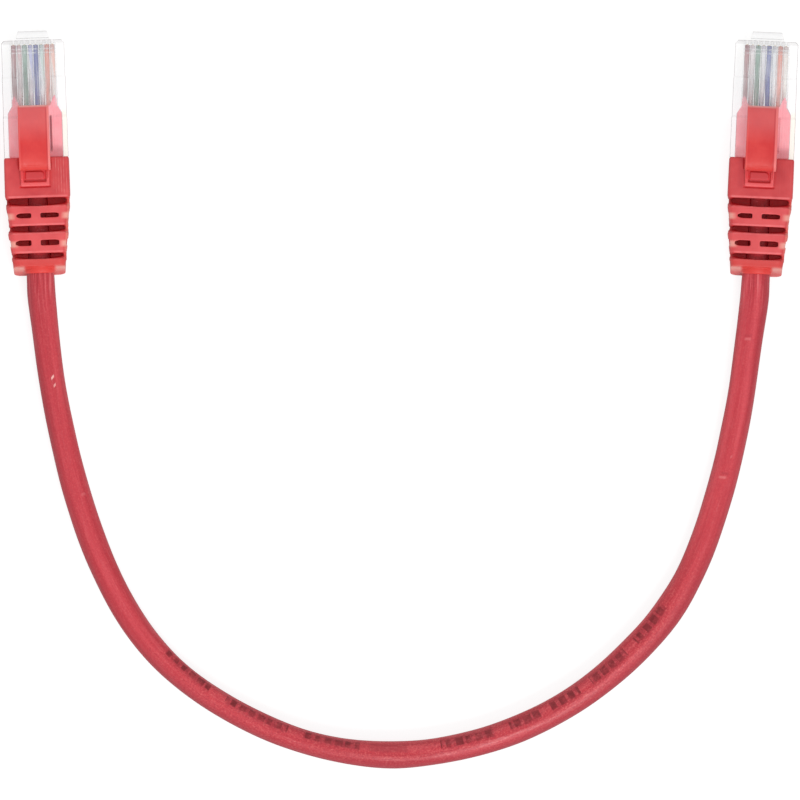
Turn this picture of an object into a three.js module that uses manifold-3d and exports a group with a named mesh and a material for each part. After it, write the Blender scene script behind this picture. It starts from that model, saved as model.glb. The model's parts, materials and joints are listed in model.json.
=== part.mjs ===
// Ethernet patch cable, nominal 0.3 m: a round four-pair cord with an 8P8C modular plug and a
// snag-proof strain relief boot at each end, lying flat in a U.
// Units are millimetres. +Z is up, the table is z = 0, and the origin is the middle of the
// assembly's footprint. The plug noses point along +Y and the latches face up.
import * as THREE from "three";
import { mergeVertices } from "three/addons/utils/BufferGeometryUtils.js";
import Module from "manifold-3d";

const wasm = await Module();
wasm.setup();

const { degToRad, smoothstep, lerp, clamp } = THREE.MathUtils;

// ---------------------------------------------------------------- driving dimensions
// Cord
const CORD_R = 2.5; // jacket outside radius
const CORD_BORE_R = 2.05; // jacket inside radius
const REST_Z = CORD_R; // axis height where the cord rests on the table
const EXIT_Z = 3.6; // axis height inside the plugs and boots
const DROP = 36; // length over which the cord sinks from the boot to the table
const JOINTS = [0.3, 0.7]; // bending joints, as fractions of the cord's length
const BALL_R = CORD_R; // domed end of a jacket at a joint
const SOCKET_R = 2.9; // hollow end of the jacket it faces
const DOME_SCALES = [0.97, 0.88, 0.72, 0.45]; // section scales from a dome's base to its tip
const JACKET_SIDES = 16;

// Conductors
const WIRE_R = 0.44; // insulated conductor in the plug
const PAIR_WIRE_R = 0.4; // insulated conductor in a twisted pair
const PAIR_OFFSET = 0.41; // conductor centre to pair axis
const PAIR_RING_R = 1.15; // pair axis to cord axis
const PAIR_LAY = 48; // pair twist pitch
const PAIR_PHASE = 0.7; // turn from each pair to the next, radians

// Plug, in its own frame: y = 0 is the housing's rear face and the nose is at +PLUG_L
const PLUG_L = 21.46;
const PLUG_HW = 5.84; // HW is a half width, here and below
const PLUG_BOTTOM = 0.3;
const PLUG_NOSE_TOP = 6.9;
const PLUG_MID_TOP = 7.3;
const PLUG_REAR_TOP = 7.9;
const PIN_COUNT = 8;
const PIN_PITCH = 1.016;
const WIRE_Z = 3.25; // conductor row height in the nose

// Boot
const BOOT_HW = 5.95;
const BOOT_H = 8.3;
const BOOT_REAR_Y = -7.4; // rear face of the square sleeve
const PIVOT_Y = -22.1; // where the cord bends as it leaves the boot
const GUARD_HW = 2.7;

// Where the plugs lie: middle of the housing's rear face, and turn about +Z in degrees
const PLUGS = {
  a: { x: -66.62, y: 44.42, turn: 1.9 },
  b: { x: 66.12, y: 44.25, turn: -2.6 },
};

// Small shift that puts the origin in the middle of the footprint
const CENTRE_SHIFT = { x: 0.123, y: -0.022 };

// [x, y] of the cord's axis between the boots, seen from above
const CORD_POINTS = [
  [-64.6, 9.31], [-62.31, -4.09], [-59.27, -17.31], [-54.75, -30.2], [-47.91, -41.99],
  [-38.41, -51.7], [-26.97, -58.9], [-14.17, -63.43], [-0.57, -64.95], [12.89, -63.27],
  [25.58, -58.55], [37.02, -51.23], [46.64, -41.63], [53.8, -30.1], [58.56, -17.29],
  [61.61, -4.08], [63.67, 9.43],
];

// Limits that lie clear of every plug piece, for cutters and for profiles trimmed by others
const BELOW = -1;
const ABOVE = 20;
const ASIDE = 9;
const AHEAD = 22;
const TALL = [BELOW, ABOVE];
const WIDE = [-ASIDE, ASIDE];

// ---------------------------------------------------------------- materials
const INSULATION_COLOURS = {
  brown: 0x8a5a3c,
  white_brown: 0xdccdc2,
  green: 0x6fa58e,
  white_blue: 0xd5d8e6,
  blue: 0x5a66a8,
  white_green: 0xcfe0d8,
  orange: 0xe08a62,
  white_orange: 0xf0dccf,
};
// Conductors across the nose, from -x to +x with the latch up: pins 8 to 1
const WIRE_ORDER = Object.keys(INSULATION_COLOURS);
// Twisted pairs, in order round the cord
const PAIR_ORDER = ["blue", "orange", "green", "brown"];

const JACKET_RED = 0xc2404c;
const MATERIALS = {
  clear: { color: 0xeef2f4, roughness: 0.12, transparent: true, opacity: 0.35 },
  boot: { color: 0xcf3b45, roughness: 0.5 },
  guard: { color: 0xd84048, roughness: 0.45 },
  mould: { color: 0xe8808c, roughness: 0.5 },
  jacketEnd: { color: JACKET_RED, roughness: 0.45 },
  jacket: { color: JACKET_RED, roughness: 0.4 },
  contact: { color: 0xd9b25a, roughness: 0.25, metalness: 1 },
};
const insulation = (colour) => ({ color: INSULATION_COLOURS[colour], roughness: 0.5 });

function addMesh(parent, name, manifold, look) {
  const mesh = new THREE.Mesh(geometryOf(manifold), new THREE.MeshStandardMaterial(look));
  mesh.name = name;
  parent.add(mesh);
}

// ---------------------------------------------------------------- solid helpers
const X = new THREE.Vector3(1, 0, 0);
const Y = new THREE.Vector3(0, 1, 0);
const Z = new THREE.Vector3(0, 0, 1);

// A manifold from a closed geometry, with its seams merged
function solid(geometry) {
  geometry.deleteAttribute("normal");
  geometry.deleteAttribute("uv");
  const merged = mergeVertices(geometry, 1e-4);
  return new wasm.Manifold(
    new wasm.Mesh({
      numProp: 3,
      vertProperties: new Float32Array(merged.attributes.position.array),
      triVerts: new Uint32Array(merged.index.array),
    }),
  );
}

function geometryOf(manifold) {
  const mesh = manifold.getMesh();
  const geometry = new THREE.BufferGeometry();
  const positions = new Float32Array(mesh.vertProperties);
  geometry.setAttribute("position", new THREE.BufferAttribute(positions, 3));
  geometry.setIndex(new THREE.BufferAttribute(new Uint32Array(mesh.triVerts), 1));
  geometry.computeVertexNormals();
  return geometry;
}

function extrude(points, depth, steps = 1) {
  const shape = new THREE.Shape(points.map(([x, y]) => new THREE.Vector2(x, y)));
  return new THREE.ExtrudeGeometry(shape, { depth, steps, bevelEnabled: false });
}

// A box from its [low, high] range on each axis
function box([x0, x1], [y0, y1], [z0, z1]) {
  const geometry = new THREE.BoxGeometry(x1 - x0, y1 - y0, z1 - z0);
  geometry.translate((x0 + x1) / 2, (y0 + y1) / 2, (z0 + z1) / 2);
  return solid(geometry);
}

function ball(centre, radius) {
  const geometry = new THREE.SphereGeometry(radius, 16, 10);
  geometry.translate(centre.x, centre.y, centre.z);
  return solid(geometry);
}

// A side profile of [y, z] points carried from x0 to x1
function sideProfile(points, [x0, x1]) {
  const placing = new THREE.Matrix4().makeBasis(Y, Z, X).setPosition(x0, 0, 0);
  return solid(extrude(points, x1 - x0).applyMatrix4(placing));
}

// A plan of [x, y] points carried from z0 to z1
const plan = (points, [z0, z1]) => solid(extrude(points, z1 - z0).translate(0, 0, z0));

// A cross section of [x, z] points carried from y0 to y1
function crossSection(points, [y0, y1]) {
  const placing = new THREE.Matrix4().makeBasis(X, Z, Y.clone().negate()).setPosition(0, y1, 0);
  return solid(extrude(points, y1 - y0).applyMatrix4(placing));
}

const around = (centre, halfWidth) => [centre - halfWidth, centre + halfWidth];

// The +x half of a plan, completed by its mirror image
const mirrored = (half) => [...half, ...half.map(([x, y]) => [-x, y]).reverse()];

// A rectangle with its corners cut at 45 degrees
const chamfered = ([x0, x1], [z0, z1], cut) => [
  [x0 + cut, z0], [x1 - cut, z0], [x1, z0 + cut], [x1, z1 - cut],
  [x1 - cut, z1], [x0 + cut, z1], [x0, z1 - cut], [x0, z0 + cut],
];

const polygon = (sides, radius) =>
  Array.from({ length: sides }, (_, i) => {
    const angle = -Math.PI / 2 + (2 * Math.PI * i) / sides;
    return [radius * Math.cos(angle), radius * Math.sin(angle)];
  });

// A closed section carried along stations {point, direction}. A station may also turn the
// section about its direction, then scale it and shift it. Section x runs to the left of the
// direction and section y runs up.
function sweep(points, stations) {
  const last = stations.length - 1;
  const geometry = extrude(points, last, last);
  const position = geometry.attributes.position;
  const frames = stations.map(({ direction }) => {
    const ahead = direction.clone().normalize();
    const left = Z.clone().cross(ahead).normalize();
    return { left, top: ahead.clone().cross(left) };
  });
  for (let i = 0; i < position.count; i++) {
    const k = Math.round(position.getZ(i));
    const { point, turn = 0, scaleX = 1, scaleY = 1, shiftX = 0, shiftY = 0 } = stations[k];
    const { left, top } = frames[k];
    const x = position.getX(i);
    const y = position.getY(i);
    const leftward = (x * Math.cos(turn) - y * Math.sin(turn)) * scaleX + shiftX;
    const upward = (x * Math.sin(turn) + y * Math.cos(turn)) * scaleY + shiftY;
    const moved = point.clone().addScaledVector(left, leftward).addScaledVector(top, upward);
    position.setXYZ(i, moved.x, moved.y, moved.z);
  }
  return solid(geometry);
}

// A round section carried forward along the cord's axis inside the plug.
// Rows are [y, width scale, height scale].
function plugSweep(sides, radius, rows) {
  const stations = rows.map(([y, scaleX, scaleY]) => ({
    point: new THREE.Vector3(0, y, EXIT_Z),
    direction: Y,
    scaleX,
    scaleY,
  }));
  return sweep(polygon(sides, radius), stations);
}

// Distance from a dome's centre to the section that has this scale
const domeOffset = (scale) => BALL_R * Math.sqrt(1 - scale * scale);

// ---------------------------------------------------------------- plug housing and latch
const pinX = (i) => (i - (PIN_COUNT - 1) / 2) * PIN_PITCH;

const HOUSING_SIDE = [ // [y, z]
  [0, PLUG_BOTTOM], [20.9, PLUG_BOTTOM], [PLUG_L, 0.9], [PLUG_L, 6.0],
  [20.7, PLUG_NOSE_TOP], [14.9, PLUG_NOSE_TOP], [14.5, PLUG_MID_TOP],
  [7.7, PLUG_MID_TOP], [7.2, PLUG_REAR_TOP], [0, PLUG_REAR_TOP],
];
const HOUSING_PLAN = [ // [x, y]
  [PLUG_HW, 0], [PLUG_HW, 7.2], [5.78, 7.6], [5.74, 21.0], [5.3, PLUG_L],
];
// Rear cavity for the cord, then the narrowing passage for the conductors
const CAVITY_PLAN = [[4.95, -1], [4.95, 8.1], [4.2, 9.4], [4.2, 20.9]]; // [x, y]
const CAVITY_SIDE = [ // [y, z]
  [-1, 1.0], [9.6, 1.0], [13.5, 2.72], [20.9, 2.72],
  [20.9, 3.78], [14.4, 3.78], [11.8, 6.15], [-1, 6.15],
];
const CHANNEL = { halfWidth: 3.0, y: [0.8, 15.2], floor: 6.75 }; // under the latch
const BAR_POCKET = { halfWidth: 3.4, y: [2.2, 5.6], ceiling: 0.65 }; // pressed strain relief bar
const CONTACT_SLOT = { halfWidth: 0.23, rear: 16.2, ceiling: 3.0 };

function housing() {
  const outside = sideProfile(HOUSING_SIDE, WIDE).intersect(plan(mirrored(HOUSING_PLAN), TALL));
  const cavity = plan(mirrored(CAVITY_PLAN), TALL).intersect(sideProfile(CAVITY_SIDE, WIDE));
  let body = outside
    .subtract(box(around(0, CHANNEL.halfWidth), CHANNEL.y, [CHANNEL.floor, ABOVE]))
    .subtract(cavity)
    .subtract(box(around(0, BAR_POCKET.halfWidth), BAR_POCKET.y, [BELOW, BAR_POCKET.ceiling]));
  for (let i = 0; i < PIN_COUNT; i++) {
    const slotX = around(pinX(i), CONTACT_SLOT.halfWidth);
    body = body.subtract(box(slotX, [CONTACT_SLOT.rear, AHEAD], [BELOW, CONTACT_SLOT.ceiling]));
  }
  return body;
}

const LATCH_HW = 3.0;
const LATCH_TAIL_HW = 1.63;
const LATCH_SHOULDER_Y = 12.56;
const LATCH_TAIL_Y = 6.3;
const LATCH_SIDE = [ // [y, z]
  [21.78, 5.4], [22.6, 5.4], [23.0, 5.9], [23.0, 7.2], [22.4, 7.75], [6.5, 11.7],
  [LATCH_TAIL_Y, 11.55], [LATCH_TAIL_Y, 10.95], [6.55, 10.72], [12.6, 9.35],
  [20.0, 7.62], [21.78, 7.2],
];
const LATCH_PLAN = [ // [x, y]
  [LATCH_TAIL_HW - 0.3, LATCH_TAIL_Y - 0.1], [LATCH_TAIL_HW, LATCH_TAIL_Y + 0.2],
  [LATCH_TAIL_HW, LATCH_SHOULDER_Y], [LATCH_HW, LATCH_SHOULDER_Y],
  [LATCH_HW, 21.9], [2.6, 23.1],
];
const latch = () => sideProfile(LATCH_SIDE, WIDE).intersect(plan(mirrored(LATCH_PLAN), TALL));

// ---------------------------------------------------------------- contacts and conductors
const BLADE_HW = 0.15;
// [y, z] of a blade with three points along its upper edge
const CONTACT_SIDE = [
  [16.6, 0.85], [20.1, 0.85], [20.75, 1.5], [20.75, 2.3], [20.45, 2.45],
  [20.1, 3.3], [19.75, 2.55], [19.0, 2.55],
  [18.65, 3.3], [18.3, 2.55], [17.5, 2.55],
  [17.15, 3.3], [16.8, 2.55], [16.6, 2.45],
];
const contact = (i) => sideProfile(CONTACT_SIDE, around(pinX(i), BLADE_HW));

// In the cord the conductors are stacked two high and four across
const STACK_PITCH_X = 0.92;
const STACK_RISE = 0.47; // conductor centre above or below the cord's axis
// Between these they pass from the stack to the flat row, first across and then in height
const FAN_START_Y = 4.8;
const FAN_END_Y = 13.0;
const WIRE_STATIONS_Y = [
  -20.5, FAN_START_Y, 5.9, 7.0, 8.1, 9.2, 10.3, 11.4, FAN_END_Y, 20.6,
];
const WIRE_SLIT = { halfWidth: 0.21, rear: 16.5, ceiling: 3.4 }; // clearance for the blade

function conductor(i) {
  const x = pinX(i);
  const stackX = (Math.floor(i / 2) - 1.5) * STACK_PITCH_X;
  const stackZ = EXIT_Z + (i % 2 ? -STACK_RISE : STACK_RISE);
  const stations = WIRE_STATIONS_Y.map((y) => {
    const progress = (y - FAN_START_Y) / (FAN_END_Y - FAN_START_Y);
    const point = new THREE.Vector3(
      lerp(stackX, x, smoothstep(progress, 0, 0.6)),
      y,
      lerp(stackZ, WIRE_Z, smoothstep(progress, 0.4, 1)),
    );
    return { point, direction: Y };
  });
  const slitX = around(x, WIRE_SLIT.halfWidth);
  const slit = box(slitX, [WIRE_SLIT.rear, AHEAD], [BELOW, WIRE_SLIT.ceiling]);
  return sweep(polygon(6, WIRE_R), stations).subtract(slit);
}

// ---------------------------------------------------------------- inner mould and jacket end
const MOULD_PLAN = [[4.85, 0.05], [4.85, 8.05], [4.1, 9.35]]; // [x, y]
const MOULD_Z = [1.1, 6.05];
const PRONG = { x: [2.9, 4.05], y: [8.5, 11.4], z: [5.0, 6.0] }; // the +x one of two
const MOULD_BORE_R = 2.62;
const MOULD_BORE = [[-1, 1.14, 0.88], [4.6, 1.14, 0.88]]; // [y, width scale, height scale]
// Opening that widens forward with the conductors
const FAN_PLAN = [[2.4, 4.3], [2.6, 5.5], [3.4, 7.0], [4.0, 8.6], [4.3, 12]]; // [x, y]
const FAN_Z = [2.45, 4.8];

function innerMould() {
  const [prongInner, prongOuter] = PRONG.x;
  return plan(mirrored(MOULD_PLAN), MOULD_Z)
    .add(box(PRONG.x, PRONG.y, PRONG.z))
    .add(box([-prongOuter, -prongInner], PRONG.y, PRONG.z))
    .subtract(plugSweep(16, MOULD_BORE_R, MOULD_BORE))
    .subtract(plan(mirrored(FAN_PLAN), FAN_Z));
}

// Jacket fixed in the plug: domed at the rear, pressed wide and flat in the housing
const JACKET_FRONT = [[-2.5, 1, 1], [-0.5, 1.1, 0.87]]; // [y, width scale, height scale]

function jacketEnd() {
  const dome = DOME_SCALES.map((scale) => [PIVOT_Y - domeOffset(scale), scale, scale]).reverse();
  const outside = [...dome, [PIVOT_Y, 1, 1], ...JACKET_FRONT, [4.4, 1.12, 0.86]];
  const hollow = [[-27, 1, 1], ...JACKET_FRONT, [6, 1.12, 0.86]];
  return plugSweep(JACKET_SIDES, CORD_R, outside).subtract(
    plugSweep(JACKET_SIDES, CORD_BORE_R, hollow),
  );
}

// ---------------------------------------------------------------- boot and snag guard
// The tail tapers rearward from the sleeve to a slanted rear face
const TAIL_TOP_Y = -19.7; // upper edge of the rear face
const TAIL_BOTTOM_Y = -21.3; // lower edge of the rear face
const TAIL_FRONT = { halfWidth: 5.83, bottom: 0.05, top: 7.85 };
const TAIL_REAR = { halfWidth: 4.75, bottom: 0.45, top: 6.9 };
const TAIL_OVERLAP = 0.3; // how far the tail starts inside the sleeve

// Gaps between the tail's rings, as y ranges. Wide gaps leave side webs and split gaps leave
// a middle spine, in turn, so that the tail bends with the cord.
const TAIL_GAPS = [
  { y: [-8.9, BOOT_REAR_Y], wide: true },
  { y: [-11.1, -10.15], wide: false },
  { y: [-13.75, -12.5], wide: true },
  { y: [-16.25, -15.1], wide: false },
  { y: [-18.6, -17.5], wide: true },
];
const GAP_HEIGHTS = [[5.0, ABOVE], [BELOW, 2.2]]; // cut from above and from below
const WEB_INNER_INSET = 0.5; // web faces, in from the tail's side
const WEB_OUTER_INSET = 0.35;
const SPLIT_GAP_X = [0.9, 3.95]; // spine face to side wall, on the +x side

const PAD = { y: [-5.25, -2.4], z: [8.0, 9.1] }; // raised pad behind the snag guard
const PAD_RECESS = { halfWidth: 1.65, y: [-4.0, -2.7], floor: 8.45 };
const BOOT_CHAMFER = 0.7;
const BOOT_FRONT_Y = -0.1;
const BOOT_BORE_R = 2.68;
const BOOT_BORE = [[-24, 1, 1], [-2.5, 1, 1], [-0.5, 1.12, 0.92], [1, 1.12, 0.92]]; // as above

function tailHalfWidth(y) {
  const fraction = (y - BOOT_REAR_Y) / (TAIL_TOP_Y - BOOT_REAR_Y);
  return lerp(TAIL_FRONT.halfWidth, TAIL_REAR.halfWidth, fraction);
}

function bootTail() {
  const frontY = BOOT_REAR_Y + TAIL_OVERLAP;
  const outline = [
    [TAIL_FRONT.halfWidth, frontY],
    [TAIL_REAR.halfWidth, TAIL_TOP_Y],
    [tailHalfWidth(TAIL_BOTTOM_Y), TAIL_BOTTOM_Y],
  ];
  const side = [
    [frontY, TAIL_FRONT.bottom],
    [frontY, TAIL_FRONT.top],
    [TAIL_TOP_Y, TAIL_REAR.top],
    [TAIL_BOTTOM_Y, TAIL_REAR.bottom],
  ];
  return plan(mirrored(outline), TALL).intersect(sideProfile(side, WIDE));
}

// The boxes that cut one gap
function gapCutters({ y, wide }) {
  const halfWidth = tailHalfWidth((y[0] + y[1]) / 2);
  const [inner, outer] = SPLIT_GAP_X;
  const pockets = wide ? [around(0, halfWidth - WEB_INNER_INSET)] : [[inner, outer], [-outer, -inner]];
  const cutters = pockets.flatMap((x) => GAP_HEIGHTS.map((z) => box(x, y, z)));
  if (wide) {
    const webOuter = halfWidth - WEB_OUTER_INSET;
    cutters.push(box([webOuter, ASIDE], y, TALL), box([-ASIDE, -webOuter], y, TALL));
  }
  return cutters;
}

function boot() {
  const sleeveSection = chamfered(around(0, BOOT_HW), [0, BOOT_H], BOOT_CHAMFER);
  const recessX = around(0, PAD_RECESS.halfWidth);
  let body = crossSection(sleeveSection, [BOOT_REAR_Y, BOOT_FRONT_Y])
    .add(bootTail())
    .add(box(around(0, GUARD_HW), PAD.y, PAD.z))
    .subtract(box(recessX, PAD_RECESS.y, [PAD_RECESS.floor, ABOVE]));
  for (const cutter of TAIL_GAPS.flatMap(gapCutters)) body = body.subtract(cutter);
  return body.subtract(plugSweep(16, BOOT_BORE_R, BOOT_BORE));
}

// [y, z] of the arm that rises from the boot and reaches forward over the latch's tail
const GUARD_SIDE = [
  [-2.35, 8.65], [-1.05, 8.65], [-1.05, 10.6], [-0.7, 11.5], [0.3, 12.1], [3.0, 12.3],
  [6.3, 12.15], [8.0, 11.75], [9.15, 11.2], [9.5, 11.5], [9.5, 12.1], [8.7, 12.75],
  [6.5, 13.3], [3.0, 13.5], [-0.6, 13.3], [-1.9, 12.7], [-2.4, 11.6],
];
const snagGuard = () => sideProfile(GUARD_SIDE, around(0, GUARD_HW));

function plug(key, { x, y, turn }) {
  const group = new THREE.Group();
  group.name = `plug_${key}`;
  group.position.set(x, y, 0);
  group.rotation.z = degToRad(turn);
  const add = (part, manifold, look) => addMesh(group, `plug_${key}_${part}`, manifold, look);
  add("housing", housing(), MATERIALS.clear);
  add("latch", latch(), MATERIALS.clear);
  add("boot", boot(), MATERIALS.boot);
  add("snag_guard", snagGuard(), MATERIALS.guard);
  add("inner_mould", innerMould(), MATERIALS.mould);
  add("jacket_end", jacketEnd(), MATERIALS.jacketEnd);
  WIRE_ORDER.forEach((colour, i) => {
    const pin = PIN_COUNT - i;
    add(`contact_${pin}`, contact(i), MATERIALS.contact);
    add(`wire_${pin}_${colour}`, conductor(i), insulation(colour));
  });
  return group;
}

// ---------------------------------------------------------------- cord axis
const AXIS_LEAD = 4; // straight run of the axis behind each plug's pivot

// A point on a plug's centre line, as [x, y] in the assembly
function plugPoint(place, y) {
  const angle = degToRad(place.turn);
  return [place.x - y * Math.sin(angle), place.y + y * Math.cos(angle)];
}

const axisPoints = [
  plugPoint(PLUGS.a, PIVOT_Y),
  plugPoint(PLUGS.a, PIVOT_Y - AXIS_LEAD),
  ...CORD_POINTS,
  plugPoint(PLUGS.b, PIVOT_Y - AXIS_LEAD),
  plugPoint(PLUGS.b, PIVOT_Y),
].map(([x, y]) => new THREE.Vector3(x, y, 0));
const axis = new THREE.CatmullRomCurve3(axisPoints, false, "centripetal");
axis.arcLengthDivisions = 2000;
const cordLength = axis.getLength();

// The axis at a distance along the cord from plug a, carried straight on past either end
function cordPoint(distance) {
  const onCord = clamp(distance, 0, cordLength);
  const fraction = onCord / cordLength;
  const point = axis.getPointAt(fraction);
  point.addScaledVector(axis.getTangentAt(fraction), distance - onCord);
  const fromEnd = Math.min(onCord, cordLength - onCord);
  point.z = lerp(EXIT_Z, REST_Z, smoothstep(fromEnd, 0, DROP));
  return point;
}

const TANGENT_REACH = 0.25; // the direction is taken between points this far either side

function cordStation(distance, section = {}) {
  const behind = cordPoint(distance - TANGENT_REACH);
  const direction = cordPoint(distance + TANGENT_REACH).sub(behind);
  return { point: cordPoint(distance), direction, ...section };
}

const spanStations = (start, end, steps, sectionAt = () => ({})) =>
  Array.from({ length: steps + 1 }, (_, k) => {
    const distance = start + ((end - start) * k) / steps;
    return cordStation(distance, sectionAt(distance));
  });

// ---------------------------------------------------------------- cord spans
// Each end of a span is a ball (domed about its bend) or a socket (hollowed round it).
// overrun: how far the bore's cutter runs past the bend; pairInset: how far the pairs stop short
const ENDS = {
  ball: { overrun: 4, pairInset: 1.6 },
  socket: { overrun: 1, pairInset: SOCKET_R },
};
const [JOINT_A, JOINT_B] = JOINTS.map((fraction) => fraction * cordLength);
const SPANS = [
  { name: "left", start: 0, end: JOINT_A, startKind: "socket", endKind: "ball", steps: 16 },
  { name: "centre", start: JOINT_A, end: JOINT_B, startKind: "socket", endKind: "socket", steps: 18 },
  { name: "right", start: JOINT_B, end: cordLength, startKind: "ball", endKind: "socket", steps: 16 },
];

// Dome stations from base to tip; sense is -1 towards plug a and 1 towards plug b
const domeStations = (distance, sense) =>
  DOME_SCALES.map((scale) =>
    cordStation(distance + sense * domeOffset(scale), { scaleX: scale, scaleY: scale }),
  );

function jacket({ start, end, startKind, endKind, steps }) {
  const stations = spanStations(start, end, steps);
  const bore = [
    cordStation(start - ENDS[startKind].overrun),
    ...stations,
    cordStation(end + ENDS[endKind].overrun),
  ];
  const outside = [
    ...(startKind === "ball" ? domeStations(start, -1).reverse() : []),
    ...stations,
    ...(endKind === "ball" ? domeStations(end, 1) : []),
  ];
  let body = sweep(polygon(JACKET_SIDES, CORD_R), outside);
  body = body.subtract(sweep(polygon(12, CORD_BORE_R), bore));
  if (startKind === "socket") body = body.subtract(ball(cordPoint(start), SOCKET_R));
  if (endKind === "socket") body = body.subtract(ball(cordPoint(end), SOCKET_R));
  return body;
}

// Two insulated conductors twisted together, as one figure-of-eight section
const PAIR_WAIST = 0.22; // half height between the two conductors
const lobe = [-110, -35, 35, 110].map(degToRad).map((angle) => [
  PAIR_OFFSET + PAIR_WIRE_R * Math.cos(angle),
  PAIR_WIRE_R * Math.sin(angle),
]);
const pairSection = [
  [0, -PAIR_WAIST],
  ...lobe,
  [0, PAIR_WAIST],
  ...lobe.map(([x, y]) => [-x, -y]),
];

function twistedPair({ start, end, startKind, endKind, steps }, k) {
  const angle = Math.PI / 4 + (Math.PI / 2) * k;
  const first = start + ENDS[startKind].pairInset;
  const last = end - ENDS[endKind].pairInset;
  const stations = spanStations(first, last, steps, (distance) => ({
    turn: (2 * Math.PI * distance) / PAIR_LAY + k * PAIR_PHASE,
    shiftX: PAIR_RING_R * Math.cos(angle),
    shiftY: PAIR_RING_R * Math.sin(angle),
  }));
  return sweep(pairSection, stations);
}

function cordSpan(span) {
  const group = new THREE.Group();
  group.name = `cord_${span.name}`;
  addMesh(group, `${group.name}_jacket`, jacket(span), MATERIALS.jacket);
  PAIR_ORDER.forEach((colour, k) => {
    addMesh(group, `${group.name}_pair_${colour}`, twistedPair(span, k), insulation(colour));
  });
  return group;
}

// ---------------------------------------------------------------- assembly
const root = new THREE.Group();
root.name = "ethernet_patch_cable";
const assembly = new THREE.Group();
assembly.position.set(CENTRE_SHIFT.x, CENTRE_SHIFT.y, 0);
root.add(assembly);
for (const [key, place] of Object.entries(PLUGS)) assembly.add(plug(key, place));
for (const span of SPANS) assembly.add(cordSpan(span));

export default root;
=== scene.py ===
"""Ethernet patch cable lying as a U on a white table, seen from above.

The world is in metres with +Z up. Each plug is modelled once in a frame of its own, in mm: +y runs
forward to the housing's nose, y = 0 is the housing's rear face, z = 0 is the table, and the latch is
on top. The boot trails towards -y. Places along the cord are in mm of axis length, counted from the
bend of boot a to the bend of boot b.
"""
import json
import math
from types import SimpleNamespace

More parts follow.
